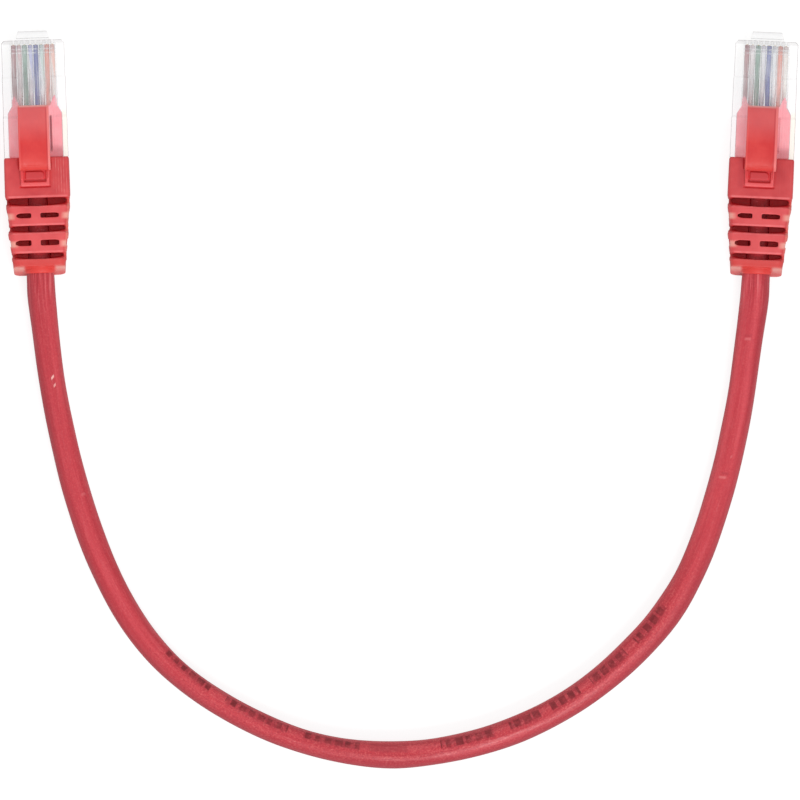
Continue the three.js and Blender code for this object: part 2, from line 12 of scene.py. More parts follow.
import bmesh
import bpy
import numpy as np
from mathutils import Matrix, Vector
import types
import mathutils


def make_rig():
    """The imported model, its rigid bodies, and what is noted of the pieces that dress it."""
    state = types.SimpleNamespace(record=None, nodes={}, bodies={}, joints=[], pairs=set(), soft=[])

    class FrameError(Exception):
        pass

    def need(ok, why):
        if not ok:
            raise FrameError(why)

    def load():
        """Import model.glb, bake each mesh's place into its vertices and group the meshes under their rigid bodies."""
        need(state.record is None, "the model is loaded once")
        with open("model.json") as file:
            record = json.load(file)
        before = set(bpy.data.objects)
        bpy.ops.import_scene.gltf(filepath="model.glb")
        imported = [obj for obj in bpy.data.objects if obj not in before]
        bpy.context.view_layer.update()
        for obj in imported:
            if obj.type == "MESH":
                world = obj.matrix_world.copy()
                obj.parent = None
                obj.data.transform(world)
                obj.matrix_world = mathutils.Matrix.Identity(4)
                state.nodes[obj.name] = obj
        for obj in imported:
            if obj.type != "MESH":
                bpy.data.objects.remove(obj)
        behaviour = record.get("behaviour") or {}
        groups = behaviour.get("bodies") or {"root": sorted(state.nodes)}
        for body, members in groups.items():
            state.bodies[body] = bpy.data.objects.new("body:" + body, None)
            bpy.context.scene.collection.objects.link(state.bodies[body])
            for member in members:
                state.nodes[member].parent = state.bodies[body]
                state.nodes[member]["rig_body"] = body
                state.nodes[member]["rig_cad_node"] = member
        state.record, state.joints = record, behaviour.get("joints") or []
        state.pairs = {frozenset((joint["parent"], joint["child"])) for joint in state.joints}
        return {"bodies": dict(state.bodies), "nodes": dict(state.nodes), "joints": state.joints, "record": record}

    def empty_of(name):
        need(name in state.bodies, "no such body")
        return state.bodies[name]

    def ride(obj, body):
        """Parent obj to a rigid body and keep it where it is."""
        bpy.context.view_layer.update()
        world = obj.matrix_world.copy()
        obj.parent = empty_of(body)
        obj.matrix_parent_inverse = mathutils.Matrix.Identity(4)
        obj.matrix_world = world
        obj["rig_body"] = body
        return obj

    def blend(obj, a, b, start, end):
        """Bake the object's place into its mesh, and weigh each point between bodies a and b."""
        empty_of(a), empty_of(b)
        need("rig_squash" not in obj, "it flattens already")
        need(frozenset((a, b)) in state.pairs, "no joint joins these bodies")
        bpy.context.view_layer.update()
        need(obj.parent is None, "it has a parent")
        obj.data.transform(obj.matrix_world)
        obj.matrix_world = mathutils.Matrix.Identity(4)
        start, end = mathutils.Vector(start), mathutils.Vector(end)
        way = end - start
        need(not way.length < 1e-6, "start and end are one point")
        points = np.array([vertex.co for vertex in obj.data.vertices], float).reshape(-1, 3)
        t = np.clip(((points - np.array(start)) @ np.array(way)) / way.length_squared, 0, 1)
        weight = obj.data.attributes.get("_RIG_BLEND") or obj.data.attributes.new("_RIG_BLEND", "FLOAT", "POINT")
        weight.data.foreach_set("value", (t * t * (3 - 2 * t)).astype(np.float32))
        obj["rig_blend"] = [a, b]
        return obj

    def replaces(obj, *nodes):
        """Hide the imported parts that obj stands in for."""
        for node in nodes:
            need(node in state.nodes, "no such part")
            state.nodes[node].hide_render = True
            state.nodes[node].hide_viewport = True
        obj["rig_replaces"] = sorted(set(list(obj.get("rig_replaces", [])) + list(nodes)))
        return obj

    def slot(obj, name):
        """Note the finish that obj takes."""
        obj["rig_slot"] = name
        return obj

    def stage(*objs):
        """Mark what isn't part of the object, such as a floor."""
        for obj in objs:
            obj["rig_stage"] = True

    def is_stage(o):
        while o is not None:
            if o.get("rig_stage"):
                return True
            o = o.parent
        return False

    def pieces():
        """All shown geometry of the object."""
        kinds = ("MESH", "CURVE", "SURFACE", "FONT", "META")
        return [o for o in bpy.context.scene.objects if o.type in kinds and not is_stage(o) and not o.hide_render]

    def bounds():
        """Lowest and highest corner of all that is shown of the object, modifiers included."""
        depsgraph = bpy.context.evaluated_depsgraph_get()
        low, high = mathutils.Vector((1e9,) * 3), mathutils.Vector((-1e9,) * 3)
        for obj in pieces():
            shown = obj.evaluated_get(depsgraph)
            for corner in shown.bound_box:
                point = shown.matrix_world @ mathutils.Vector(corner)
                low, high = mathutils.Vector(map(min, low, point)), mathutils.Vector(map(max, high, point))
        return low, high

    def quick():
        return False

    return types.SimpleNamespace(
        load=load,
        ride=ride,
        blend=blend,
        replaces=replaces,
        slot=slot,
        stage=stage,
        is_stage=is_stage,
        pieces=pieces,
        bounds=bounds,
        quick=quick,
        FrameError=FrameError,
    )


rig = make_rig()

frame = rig.load()
CAD_LO, CAD_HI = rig.bounds()
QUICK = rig.quick()
JOINTS = {joint["name"]: joint for joint in frame["joints"]}
SCENE = bpy.context.scene

MM = 0.001

# Mesh fineness: mm between stations, points around the jacket, remesh voxels
JACKET_STEP = 1.5 if QUICK else 0.75
WIRE_STEP = 1.8 if QUICK else 0.9
JACKET_AROUND = 28 if QUICK else 48
WIRE_AROUND = 12
MOULD_VOXEL = 0.2 if QUICK else 0.115
BOOT_VOXEL = 0.19 if QUICK else 0.095
GUARD_VOXEL = 0.18 if QUICK else 0.11

# Plug, in its own frame
BOOT_BEND_Y = -22.1
EXIT_Z = 3.6         # height of the cord's axis where it leaves the boot
FRAME_X = -0.33      # the raised frame on the boot stands a little off centre
GUARD_X = FRAME_X + 0.12
PITCH = 1.016        # between contacts
CONTACTS = 8
WIRE_Z = 3.25        # conductors in the nose
WIRE_END_Y = 20.62   # cut ends of the conductors
JACKET_END_Y = 4.4   # cut end of the jacket inside the plug
TAIL_FRONT, TAIL_REAR = -7.4, -19.7
# half width, underside and top of the boot's tail: value at the front, change to the rear
TAIL_SECTION = ((5.83, -1.08), (0.05, 0.4), (7.85, -0.95))

# Cord
REST_Z, DROP = 2.5, 36.0   # height on the table, and the length over which it comes down to it
JACKET_RADIUS, JACKET_BORE = 2.47, 2.05
WIRE_RADIUS = 0.40
CABLE_LAY = 95.0           # one turn of the four pairs about the axis
PAIR_RADIUS, TWIST_RADIUS = 1.14, 0.41
PAIR_LAY = {"blue": 13.0, "orange": 15.5, "green": 14.0, "brown": 17.0}  # one turn of each pair
SEAM = 36.0                # from each end of the axis to the joint between jacket pieces

# x, y of the cord's axis in the world, in mm, from boot a round the U to boot b
CORD_POINTS = [
    (-64.6, 9.31), (-62.31, -4.09), (-59.27, -17.31), (-54.75, -30.2), (-47.91, -41.99),
    (-38.41, -51.7), (-26.97, -58.9), (-14.17, -63.43), (-0.57, -64.95), (12.89, -63.27),
    (25.58, -58.55), (37.02, -51.23), (46.64, -41.63), (53.8, -30.1), (58.56, -17.29),
    (61.61, -4.08), (63.67, 9.43),
]
CORD_SHIFT = (0.123, -0.022)
STRAIGHT = 4               # run behind each bend before the first of these points
AXIS_STEPS = 160           # samples between two points

# Unevenness of the soft cord: place, wander to the inner side of the U, extra half width
UNEVEN = np.array([
    (-4, 0, 0), (0, 0.02, 0.08), (3, 0.12, 0.10), (6, 0.2, 0.05), (11, 0.1, -0.02),
    (16, -0.07, -0.08), (21, -0.11, -0.09), (26, -0.07, -0.09), (31, 0, -0.03), (36, 0.1, 0.02),
    (41, 0.16, 0.02), (46, 0.22, 0.04), (51, 0.28, 0.02), (56, 0.2, 0.04), (61, 0.1, -0.02),
    (66, 0, -0.07), (71, -0.16, -0.16), (76.5, -0.24, -0.22), (81.5, -0.12, -0.18),
    (86.5, 0.03, -0.2), (91.5, 0.1, -0.22), (96.5, 0.1, -0.26), (101.5, 0.04, -0.26),
    (106.5, 0, -0.25), (111.5, -0.02, -0.2), (116.5, -0.02, -0.05), (122, 0.01, 0.02),
    (127, 0.13, -0.05), (132, 0.26, -0.05), (137, 0.28, -0.02), (142, 0.22, 0.02),
    (147, 0.18, 0.03), (152, 0.15, 0.04), (157, 0.12, 0.02), (162, 0.14, 0.07), (167, 0.14, 0.14),
    (172, 0.11, 0.25), (177, -0.08, 0.28), (182, -0.15, 0.24), (187, -0.12, 0.02),
    (192, 0.06, 0.03), (197, 0.17, 0.1), (202, 0.23, 0.13), (207, 0.25, 0.09), (212, 0.19, 0.02),
    (217, 0.16, 0), (222, 0.09, 0.03), (227, 0.08, 0.02), (232, 0.14, 0.05), (237, 0.22, 0.1),
    (241, 0.2, 0.16), (244, 0.08, 0.1), (248, 0, 0),
])

# pin, name, sRGB colour, sRGB stripe; in order of x
WIRES = [
    (8, "brown", (196, 156, 158), None),
    (7, "white_brown", (252, 238, 238), (222, 190, 190)),
    (6, "green", (160, 186, 172), None),
    (5, "white_blue", (246, 244, 252), (202, 204, 234)),
    (4, "blue", (122, 128, 182), None),
    (3, "white_green", (240, 244, 246), (204, 222, 216)),
    (2, "orange", (240, 162, 146), None),
    (1, "white_orange", (253, 238, 232), (246, 204, 192)),
]


# ------------------------------------------------------------------ places
class Plug:
    """One plug's place: a matrix from its own frame in mm to the world in metres."""

    def __init__(self, key, side):
        self.key = key
        self.side = side
        across = Vector(JOINTS["latch_press_" + key]["axis"]).normalized()
        forward = Vector((0, 0, 1)).cross(across)
        origin = Vector(JOINTS["boot_bend_" + key]["pos_m"]) - forward * (BOOT_BEND_Y * MM)
        origin.z = 0
        self.matrix = Matrix.Identity(4)
        for i in range(3):
            self.matrix[i] = (across[i] * MM, forward[i] * MM, (0, 0, MM)[i], origin[i])

    def at(self, x, y, z):
        return self.matrix @ Vector((x, y, z))

    def forward(self):
        """World direction of +y, without height."""
        return np.array((self.matrix.to_3x3() @ Vector((0, 1, 0)))[:2]) / MM


PLUGS = {"a": Plug("a", "left"), "b": Plug("b", "right")}


def smooth_step(t):
    t = np.clip(t, 0.0, 1.0)
    return t * t * (3 - 2 * t)


def build_axis():
    """Centripetal Catmull-Rom curve through the cord's points: lengths along it, and x, y in mm."""
    def plug_point(key, y):
        place = PLUGS[key].at(0, y, 0) / MM
        return (place.x, place.y)

    points = [plug_point("a", BOOT_BEND_Y), plug_point("a", BOOT_BEND_Y - STRAIGHT)]
    points += [(x + CORD_SHIFT[0], y + CORD_SHIFT[1]) for x, y in CORD_POINTS]
    points += [plug_point("b", BOOT_BEND_Y - STRAIGHT), plug_point("b", BOOT_BEND_Y)]
    points = [np.array(point, float) for point in points]
    points = [2 * points[0] - points[1]] + points + [2 * points[-1] - points[-2]]
    curve = []
    for p0, p1, p2, p3 in zip(points, points[1:], points[2:], points[3:]):
        d0, d1, d2 = [max(np.sum((end - start) ** 2), 1e-12) ** 0.25
                      for start, end in ((p0, p1), (p1, p2), (p2, p3))]
        slope1 = ((p1 - p0) / d0 - (p2 - p0) / (d0 + d1) + (p2 - p1) / d1) * d1
        slope2 = ((p2 - p1) / d1 - (p3 - p1) / (d1 + d2) + (p3 - p2) / d2) * d1
        for t in np.linspace(0, 1, AXIS_STEPS, endpoint=False):
            curve.append(p1 + slope1 * t + (-3 * p1 + 3 * p2 - 2 * slope1 - slope2) * t * t
                         + (2 * p1 - 2 * p2 + slope1 + slope2) * t ** 3)
    curve.append(points[-2])
    curve = np.array(curve)
    return np.r_[0, np.cumsum(np.hypot(*np.diff(curve, axis=0).T))], curve


AXIS_LENGTHS, AXIS_POINTS = build_axis()
LENGTH = float(AXIS_LENGTHS[-1])
FORWARD_A, FORWARD_B = PLUGS["a"].forward(), PLUGS["b"].forward()
ARM_BEND = {"left": 0.3 * LENGTH, "right": 0.7 * LENGTH}


def cord(along):
    """Points on the cord's axis, in mm. Past the ends it runs straight into the plugs."""
    along = np.atleast_1d(np.asarray(along, float))
    before = np.minimum(along, 0)
    after = np.maximum(along - LENGTH, 0)
    x, y = [np.interp(along, AXIS_LENGTHS, AXIS_POINTS[:, i]) - before * FORWARD_A[i]
            + after * FORWARD_B[i] for i in range(2)]
    inward = np.clip(np.minimum(along, LENGTH - along), 0, None)
    z = REST_Z + (EXIT_Z - REST_Z) * (1 - smooth_step(inward / DROP))
    return np.stack([x, y, z], 1)


def cord_frames(along):
    """Points, directions to the inner side of the U, and upward directions."""
    tangent = cord(along + 0.6) - cord(along - 0.6)
    tangent /= np.linalg.norm(tangent, axis=1)[:, None]
    side = np.cross((0, 0, 1), tangent)
    side /= np.linalg.norm(side, axis=1)[:, None]
    return cord(along), side, np.cross(tangent, side)


def cord_point(along):
    return tuple(cord(along)[0] * MM)


def stations(start, end, step):
    return np.linspace(start, end, int(round((end - start) / step)) + 1)


def end_stations(key, y, step):
    """Stations between place y in a plug and the seam in its arm."""
    past = BOOT_BEND_Y - y
    if key == "a":
        return stations(past, SEAM, step)
    return stations(LENGTH - SEAM, LENGTH - past, step)


def uneven(along, column):
    """The wander (1) or the extra half width (2), smoothed along the cord."""
    return sum(weight * np.interp(along + shift, UNEVEN[:, 0], UNEVEN[:, column], left=0, right=0)
               for shift, weight in ((-2.5, 0.25), (0, 0.5), (2.5, 0.25)))


def widening(along):
    return 1 + uneven(along, 2) / JACKET_RADIUS


def tail_section(y):
    """Half width, underside and top of the boot's tail at y, for a number or a shader value."""
    # adding the negative keeps the shader's node an addition
    fraction = (y + -TAIL_FRONT) / (TAIL_REAR - TAIL_FRONT)
    return [fraction * change + start for start, change in TAIL_SECTION]


# ------------------------------------------------------------------ mesh helpers
def link(mesh, name):
    obj = bpy.data.objects.new(name, mesh)
    SCENE.collection.objects.link(obj)
    return obj


def add_mesh(verts, faces, name):
    mesh = bpy.data.meshes.new(name)
    mesh.from_pydata([tuple(v) for v in verts], [], [tuple(f) for f in faces])
    mesh.validate()
    mesh.update()
    return link(mesh, name)


def add_solid(verts, faces):
    obj = add_mesh(verts, faces, "solid")
    bm = bmesh.new()
    bm.from_mesh(obj.data)
    bmesh.ops.recalc_face_normals(bm, faces=bm.faces)
    bm.to_mesh(obj.data)
    bm.free()
    return obj


def prism(outline, low, high, plane):
    """Closed prism of a 2-D outline. Plane xy runs along z, yz along x, xz along y."""
    def put_at(point, depth):
        u, v = point
        return {"xy": (u, v, depth), "yz": (depth, u, v), "xz": (u, depth, v)}[plane]

    n = len(outline)
    verts = [put_at(point, depth) for depth in (low, high) for point in outline]
    faces = [list(range(n))[::-1], list(range(n, 2 * n))]
    faces += [[i, (i + 1) % n, n + (i + 1) % n, n + i] for i in range(n)]
    return add_solid(verts, faces)


def loft(rings):
    """Closed solid through rings of equal vertex count."""
    n = len(rings[0])
    last = (len(rings) - 1) * n
    faces = []
    for a in range(0, last, n):
        b = a + n
        faces += [[a + i, a + (i + 1) % n, b + (i + 1) % n, b + i] for i in range(n)]
    faces += [list(range(n))[::-1], [last + i for i in range(n)]]
    return add_solid([point for ring in rings for point in ring], faces)


def box(x, y, z, radius=0.0):
    """Box between pairs of x, y and z, its upright edges rounded by radius."""
    (x0, x1), (y0, y1) = sorted(x), y
    outline = [(x0, y0), (x1, y0), (x1, y1), (x0, y1)]
    return prism(rounded(outline, radius, 4) if radius else outline, z[0], z[1], "xy")


def rounded(points, radii, steps=5):
    """Outline with each corner filleted; radii is one radius or one per corner."""
    if not isinstance(radii, (list, tuple)):
        radii = [radii] * len(points)
    outline = []
    for i, point in enumerate(points):
        corner = np.array(point, float)
        back = np.array(points[i - 1], float) - corner
        ahead = np.array(points[(i + 1) % len(points)], float) - corner
        back_length, ahead_length = np.linalg.norm(back), np.linalg.norm(ahead)
        back, ahead = back / back_length, ahead / ahead_length
        angle = math.acos(max(-1, min(1, float(back @ ahead))))
        if radii[i] <= 0 or angle > math.pi - 0.02:
            outline.append(tuple(corner))
            continue
        reach = min(radii[i] / math.tan(angle / 2), 0.48 * back_length, 0.48 * ahead_length)
        radius = reach * math.tan(angle / 2)
        middle = (back + ahead) / np.linalg.norm(back + ahead)
        centre = corner + middle * (radius / math.sin(angle / 2))
        start, end = corner + back * reach - centre, corner + ahead * reach - centre
        first = math.atan2(start[1], start[0])
        turn = math.atan2(end[1], end[0]) - first
        turn = (turn + math.pi) % (2 * math.pi) - math.pi
        for k in range(steps + 1):
            t = first + turn * k / steps
            outline.append((centre[0] + radius * math.cos(t), centre[1] + radius * math.sin(t)))
    return outline


def spline(points, steps=6):
    """Open Catmull-Rom curve through 2-D points."""
    p = [np.array(point, float) for point in points]
    p = [2 * p[0] - p[1]] + p + [2 * p[-1] - p[-2]]
    curve = []
    for p0, p1, p2, p3 in zip(p, p[1:], p[2:], p[3:]):
        for k in range(steps):
            t = k / steps
            curve.append(tuple(0.5 * ((2 * p1) + (p2 - p0) * t
                                      + (2 * p0 - 5 * p1 + 4 * p2 - p3) * t * t
                                      + (3 * p1 - p0 - 3 * p2 + p3) * t ** 3)))
    curve.append(tuple(p[-2]))
    return curve


def mirror(half):
    return list(half) + [(-x, y) for x, y in reversed(half)]


def ellipse(centre, half_x, half_z, count):
    return [(centre[0] + half_x * math.cos(t), centre[1] + half_z * math.sin(t))
            for t in np.linspace(0, 2 * math.pi, count, endpoint=False)]


def at_y(outline, y):
    return [(x, y, z) for x, z in outline]


def round_rect(half_width, low, high, radius, y):
    """Ring of a rounded rectangle across the plug."""
    corners = [(-half_width, low), (half_width, low), (half_width, high), (-half_width, high)]
    return at_y(rounded(corners, radius, 6), y)


def modify(obj, kind, **settings):
    """Applies one modifier."""
    modifier = obj.modifiers.new("step", kind)
    for key, value in settings.items():
        setattr(modifier, key, value)
    depsgraph = bpy.context.evaluated_depsgraph_get()
    mesh = bpy.data.meshes.new_from_object(obj.evaluated_get(depsgraph), depsgraph=depsgraph)
    obj.modifiers.clear()
    old = obj.data
    obj.data = mesh
    bpy.data.meshes.remove(old)
    return obj


def boolean(obj, tool, operation="DIFFERENCE"):
    """Cuts, joins or intersects with a tool, which is used up."""
    modify(obj, "BOOLEAN", operation=operation, object=tool, solver="EXACT")
    mesh = tool.data
    bpy.data.objects.remove(tool)
    bpy.data.meshes.remove(mesh)


def join(objects):
    """One mesh of several disjoint solids."""
    bm = bmesh.new()
    for obj in objects:
        bm.from_mesh(obj.data)
    mesh = bpy.data.meshes.new("joined")
    bm.to_mesh(mesh)
    bm.free()
    for obj in objects:
        bpy.data.objects.remove(obj)
    return link(mesh, "joined")


def remesh(obj, voxel, smoothing=3, factor=0.5):
    modify(obj, "REMESH", mode="VOXEL", voxel_size=voxel, adaptivity=0)
    return modify(obj, "SMOOTH", factor=factor, iterations=smoothing)


def bevel(obj, width, segments=2, angle=34):
    return modify(obj, "BEVEL", width=width, segments=segments, limit_method="ANGLE",
                  angle_limit=math.radians(angle), use_clamp_overlap=True,
                  miter_outer="MITER_ARC")


def clean(obj):
    """Merges doubles and flat faces left by the booleans."""
    bm = bmesh.new()
    bm.from_mesh(obj.data)
    bmesh.ops.remove_doubles(bm, verts=bm.verts, dist=1e-4)
    bmesh.ops.dissolve_limit(bm, angle_limit=math.radians(1.0), verts=bm.verts, edges=bm.edges)
    bm.to_mesh(obj.data)
    bm.free()


def copy_of(obj):
    twin = obj.copy()
    twin.data = obj.data.copy()
    SCENE.collection.objects.link(twin)
    return twin


def finish(obj, name, material, plug=None, sharp=None, own=None):
    """Stores each vertex's own-frame place, carries a plug's piece to the world, shades and paints."""
    mesh = obj.data
    if own is None:
        own = np.empty(len(mesh.vertices) * 3, np.float32)
        mesh.vertices.foreach_get("co", own)
    own = np.array(own, np.float32).ravel()
    grain = own.copy()
    if plug is not None and plug.key == "b":
        grain[1::3] += 61.0  # the two ends don't share one grain
    for key, data in (("own", own), ("grain", grain)):
        mesh.attributes.new(key, "FLOAT_VECTOR", "POINT").data.foreach_set("vector", data)
    if plug is not None:
        mesh.transform(plug.matrix)
    for polygon in mesh.polygons:
        polygon.use_smooth = True
    if sharp is not None:
        mesh.set_sharp_from_angle(angle=math.radians(sharp))
    obj.name = name
    mesh.name = name
    mesh.materials.clear()
    mesh.materials.append(material)
    return obj


def ring_angles(count):
    return np.linspace(0, 2 * math.pi, count, endpoint=False) - math.pi / 2


def sweep(along, radius, around, offset, bore=None, widen=1.0):
    """Tube along the cord, hollow when it has a bore. Offset is (across, up).
    Also returns each vertex's (across, up, along)."""
    points, side, top = cord_frames(along)
    angles = ring_angles(around)

    def rings(radii):
        radii = radii * np.ones((len(along), around))
        across = radii * np.cos(angles) * widen + offset[0][:, None]
        up = radii * np.sin(angles) + offset[1][:, None]
        places = (points[:, None, :] + across[..., None] * side[:, None, :]
                  + up[..., None] * top[:, None, :])
        return places, np.stack([across, up, np.repeat(along[:, None], around, 1)], -1)

    places, own = rings(radius)
    if bore is not None:
        inner_places, inner_own = rings(bore)
        places = np.concatenate([places, inner_places[::-1]])
        own = np.concatenate([own, inner_own[::-1]])
    index = np.arange(len(places) * around).reshape(len(places), around)
    after = np.roll(index, -1, 1)
    faces = np.stack([index[:-1], after[:-1], after[1:], index[1:]], -1).reshape(-1, 4).tolist()
    if bore is not None:
        faces += np.stack([index[-1], after[-1], after[0], index[0]], -1).tolist()
    else:
        faces += [index[0][::-1].tolist(), index[-1].tolist()]
    return add_solid(places.reshape(-1, 3) * MM, faces), own.reshape(-1, 3)


# ------------------------------------------------------------------ shader helpers
class Value:
    """A shader socket that takes part in arithmetic: every operation adds one node."""

    def __init__(self, tree, socket):
        self.tree = tree
        self.socket = socket

    def __add__(self, other):
        return math_node("ADD", self, other)

    def __sub__(self, other):
        return math_node("SUBTRACT", self, other)

    def __rsub__(self, other):
        return math_node("SUBTRACT", other, self)

    def __mul__(self, other):
        return math_node("MULTIPLY", self, other)

    def __truediv__(self, other):
        return math_node("DIVIDE", self, other)

    def __pow__(self, other):
        return math_node("POWER", self, other)

    def __abs__(self):
        return math_node("ABSOLUTE", self)

    def sibling(self, output):
        """Another output of the same node."""
        return Value(self.tree, self.socket.node.outputs[output])

    def axes(self):
        x = add_node(self.tree, "SeparateXYZ", {0: self})
        return x, x.sibling(1), x.sibling(2)

    def fade(self, start, end, low=0.0, high=1.0):
        """Runs from low at start to high at end, and stays there beyond them."""
        return add_node(self.tree, "MapRange", {0: self, 1: start, 2: end, 3: low, 4: high},
                        clamp=True)

    def scaled(self, x, y, z):
        return add_node(self.tree, "Mapping", {"Vector": self, "Scale": (x, y, z)})

    def noise(self, scale, detail=2.0, rough=0.5, distort=0.0):
        return add_node(self.tree, "TexNoise", {"Vector": self, "Scale": scale, "Detail": detail,
                                                "Roughness": rough, "Distortion": distort}, "Fac")

    def ramp(self, stops, interpolation="LINEAR"):
        """Colour ramp of (position, linear colour) stops."""
        result = add_node(self.tree, "ValToRGB", {0: self})
        ramp = result.socket.node.color_ramp
        ramp.interpolation = interpolation
        while len(ramp.elements) < len(stops):
            ramp.elements.new(0.5)
        for element, (position, colour) in zip(ramp.elements, stops):
            element.position = position
            element.color = (*colour, 1)
        return result

    def bump(self, strength, distance, over=None):
        inputs = {"Strength": strength, "Distance": distance, "Height": self}
        if over is not None:
            inputs["Normal"] = over
        return add_node(self.tree, "Bump", inputs)


def put(tree, socket, value):
    if isinstance(value, Value):
        tree.links.new(value.socket, socket)
    else:
        socket.default_value = (*value, 1) if socket.type == "RGBA" else value


def add_node(tree, kind, inputs=(), output=0, **settings):
    """Adds a node, fills its inputs (by name or index) and returns one of its outputs."""
    node = tree.nodes.new("ShaderNode" + kind)
    for key, value in settings.items():
        setattr(node, key, value)
    for key, value in dict(inputs).items():
        put(tree, node.inputs[key], value)
    return Value(tree, node.outputs[output])


def tree_of(*values):
    return next(value.tree for value in values if isinstance(value, Value))


def math_node(operation, first, second=0.0, clamp=False):
    return add_node(tree_of(first, second), "Math", {0: first, 1: second, 2: 0.0},
                    operation=operation, use_clamp=clamp)


def minimum(first, second):
    return math_node("MINIMUM", first, second)


def maximum(first, second):
    return math_node("MAXIMUM", first, second)


def mix(amount, first, second, blend="MIX"):
    return add_node(tree_of(amount, first), "Mix", {0: amount, 6: first, 7: second}, output=2,
                    data_type="RGBA", blend_type=blend)


def rgb(*channels):
    """Linear colour of 0-255 sRGB channels."""
    return tuple(c / 255 / 12.92 if c / 255 <= 0.04045 else ((c / 255 + 0.055) / 1.055) ** 2.4
                 for c in channels)


def paint(base, *layers):
    """Lays (mask, colour) layers over a base; a colour is an sRGB triple or a shader value."""
    for mask, colour in layers:
        base = mix(mask, base, rgb(*colour) if isinstance(colour, tuple) else colour)
    return base


class Shader:
    """A material with a principled surface."""

    INPUTS = {"color": "Base Color", "rough": "Roughness", "metal": "Metallic", "ior": "IOR",
              "spec": "Specular IOR Level", "sss": "Subsurface Weight",
              "sss_scale": "Subsurface Scale", "sss_radius": "Subsurface Radius",
              "normal": "Normal", "glow": "Emission Color", "glow_strength": "Emission Strength"}

    def __init__(self, name):
        self.material = bpy.data.materials.new(name)
        self.material.use_nodes = True
        self.tree = self.material.node_tree
        self.tree.nodes.clear()
        self.output = self.tree.nodes.new("ShaderNodeOutputMaterial")
        self.bsdf = self.node("BsdfPrincipled")
        self.show(self.bsdf)

    def node(self, kind, inputs=(), output=0, **settings):
        return add_node(self.tree, kind, inputs, output, **settings)

    def attribute(self, name):
        return self.node("Attribute", output="Vector", attribute_name=name)

    def show(self, surface):
        put(self.tree, self.output.inputs[0], surface)

    def set(self, **inputs):
        for key, value in inputs.items():
            put(self.tree, self.bsdf.socket.node.inputs[self.INPUTS[key]], value)


# ------------------------------------------------------------------ moulded PVC
WIDE_CUTS = ((-8.08, 0.66), (-13.08, 0.58), (-18.03, 0.5))   # middle, half length along y
CUT_EDGES = (-7.16, -8.98, -12.3, -13.86, -17.3, -18.74)     # y of the block edges at the cuts
SHORT_CUTS = (-10.75, -15.85)                                # middles along y


def near_any(y, spans):
    """1 close to any of several places; spans holds (place, start and end of the fade)."""
    mask = 0.0
    for centre, start, end in spans:
        mask = maximum(mask, abs(y - centre).fade(start, end))
    return mask


def paint_frame(base, spot):
    """The raised frame on the boot: thin and paler than the block under it, with a painted highlight on its rim, and
    painted shade in the groove round it and in its recess.
    """
    y, z = spot.y, spot.z
    across = spot.x + -FRAME_X
    aside = abs(across)
    raised = z.fade(8.38, 8.5) * aside.fade(2.71, 2.67)
    # painted highlight along the frame's +x and rear edges
    rim = maximum(across.fade(2.05, 2.25), y.fade(-4.6, -4.75))
    # painted shade in the fine groove round the frame
    trench = z.fade(8.28, 8.16) * aside.fade(3.12, 3.02)
    trench = trench * (y.fade(-5.62, -5.52) * z.fade(7.7, 7.8))
    # painted shade on the walls of the recess
    well = ((aside.fade(2.12, 2.04) * y.fade(-2.3, -2.38))
            * (y.fade(-4.58, -4.5) * z.fade(8.88, 8.78)))
    # the groove round the pill, on the recess floor, is painted lighter than the shaded walls
    groove = well * z.fade(8.68, 8.60)
    groove = groove * y.fade(-4.02, -3.92, low=0.45, high=0.95)
    return paint(base, (raised * 0.95, (242, 88, 92)), ((raised * rim) * 0.45, (255, 120, 122)),
                 (trench * 0.8, (226, 58, 66)), (well * 0.55, (206, 66, 72)),
                 (groove, (236, 74, 80)))


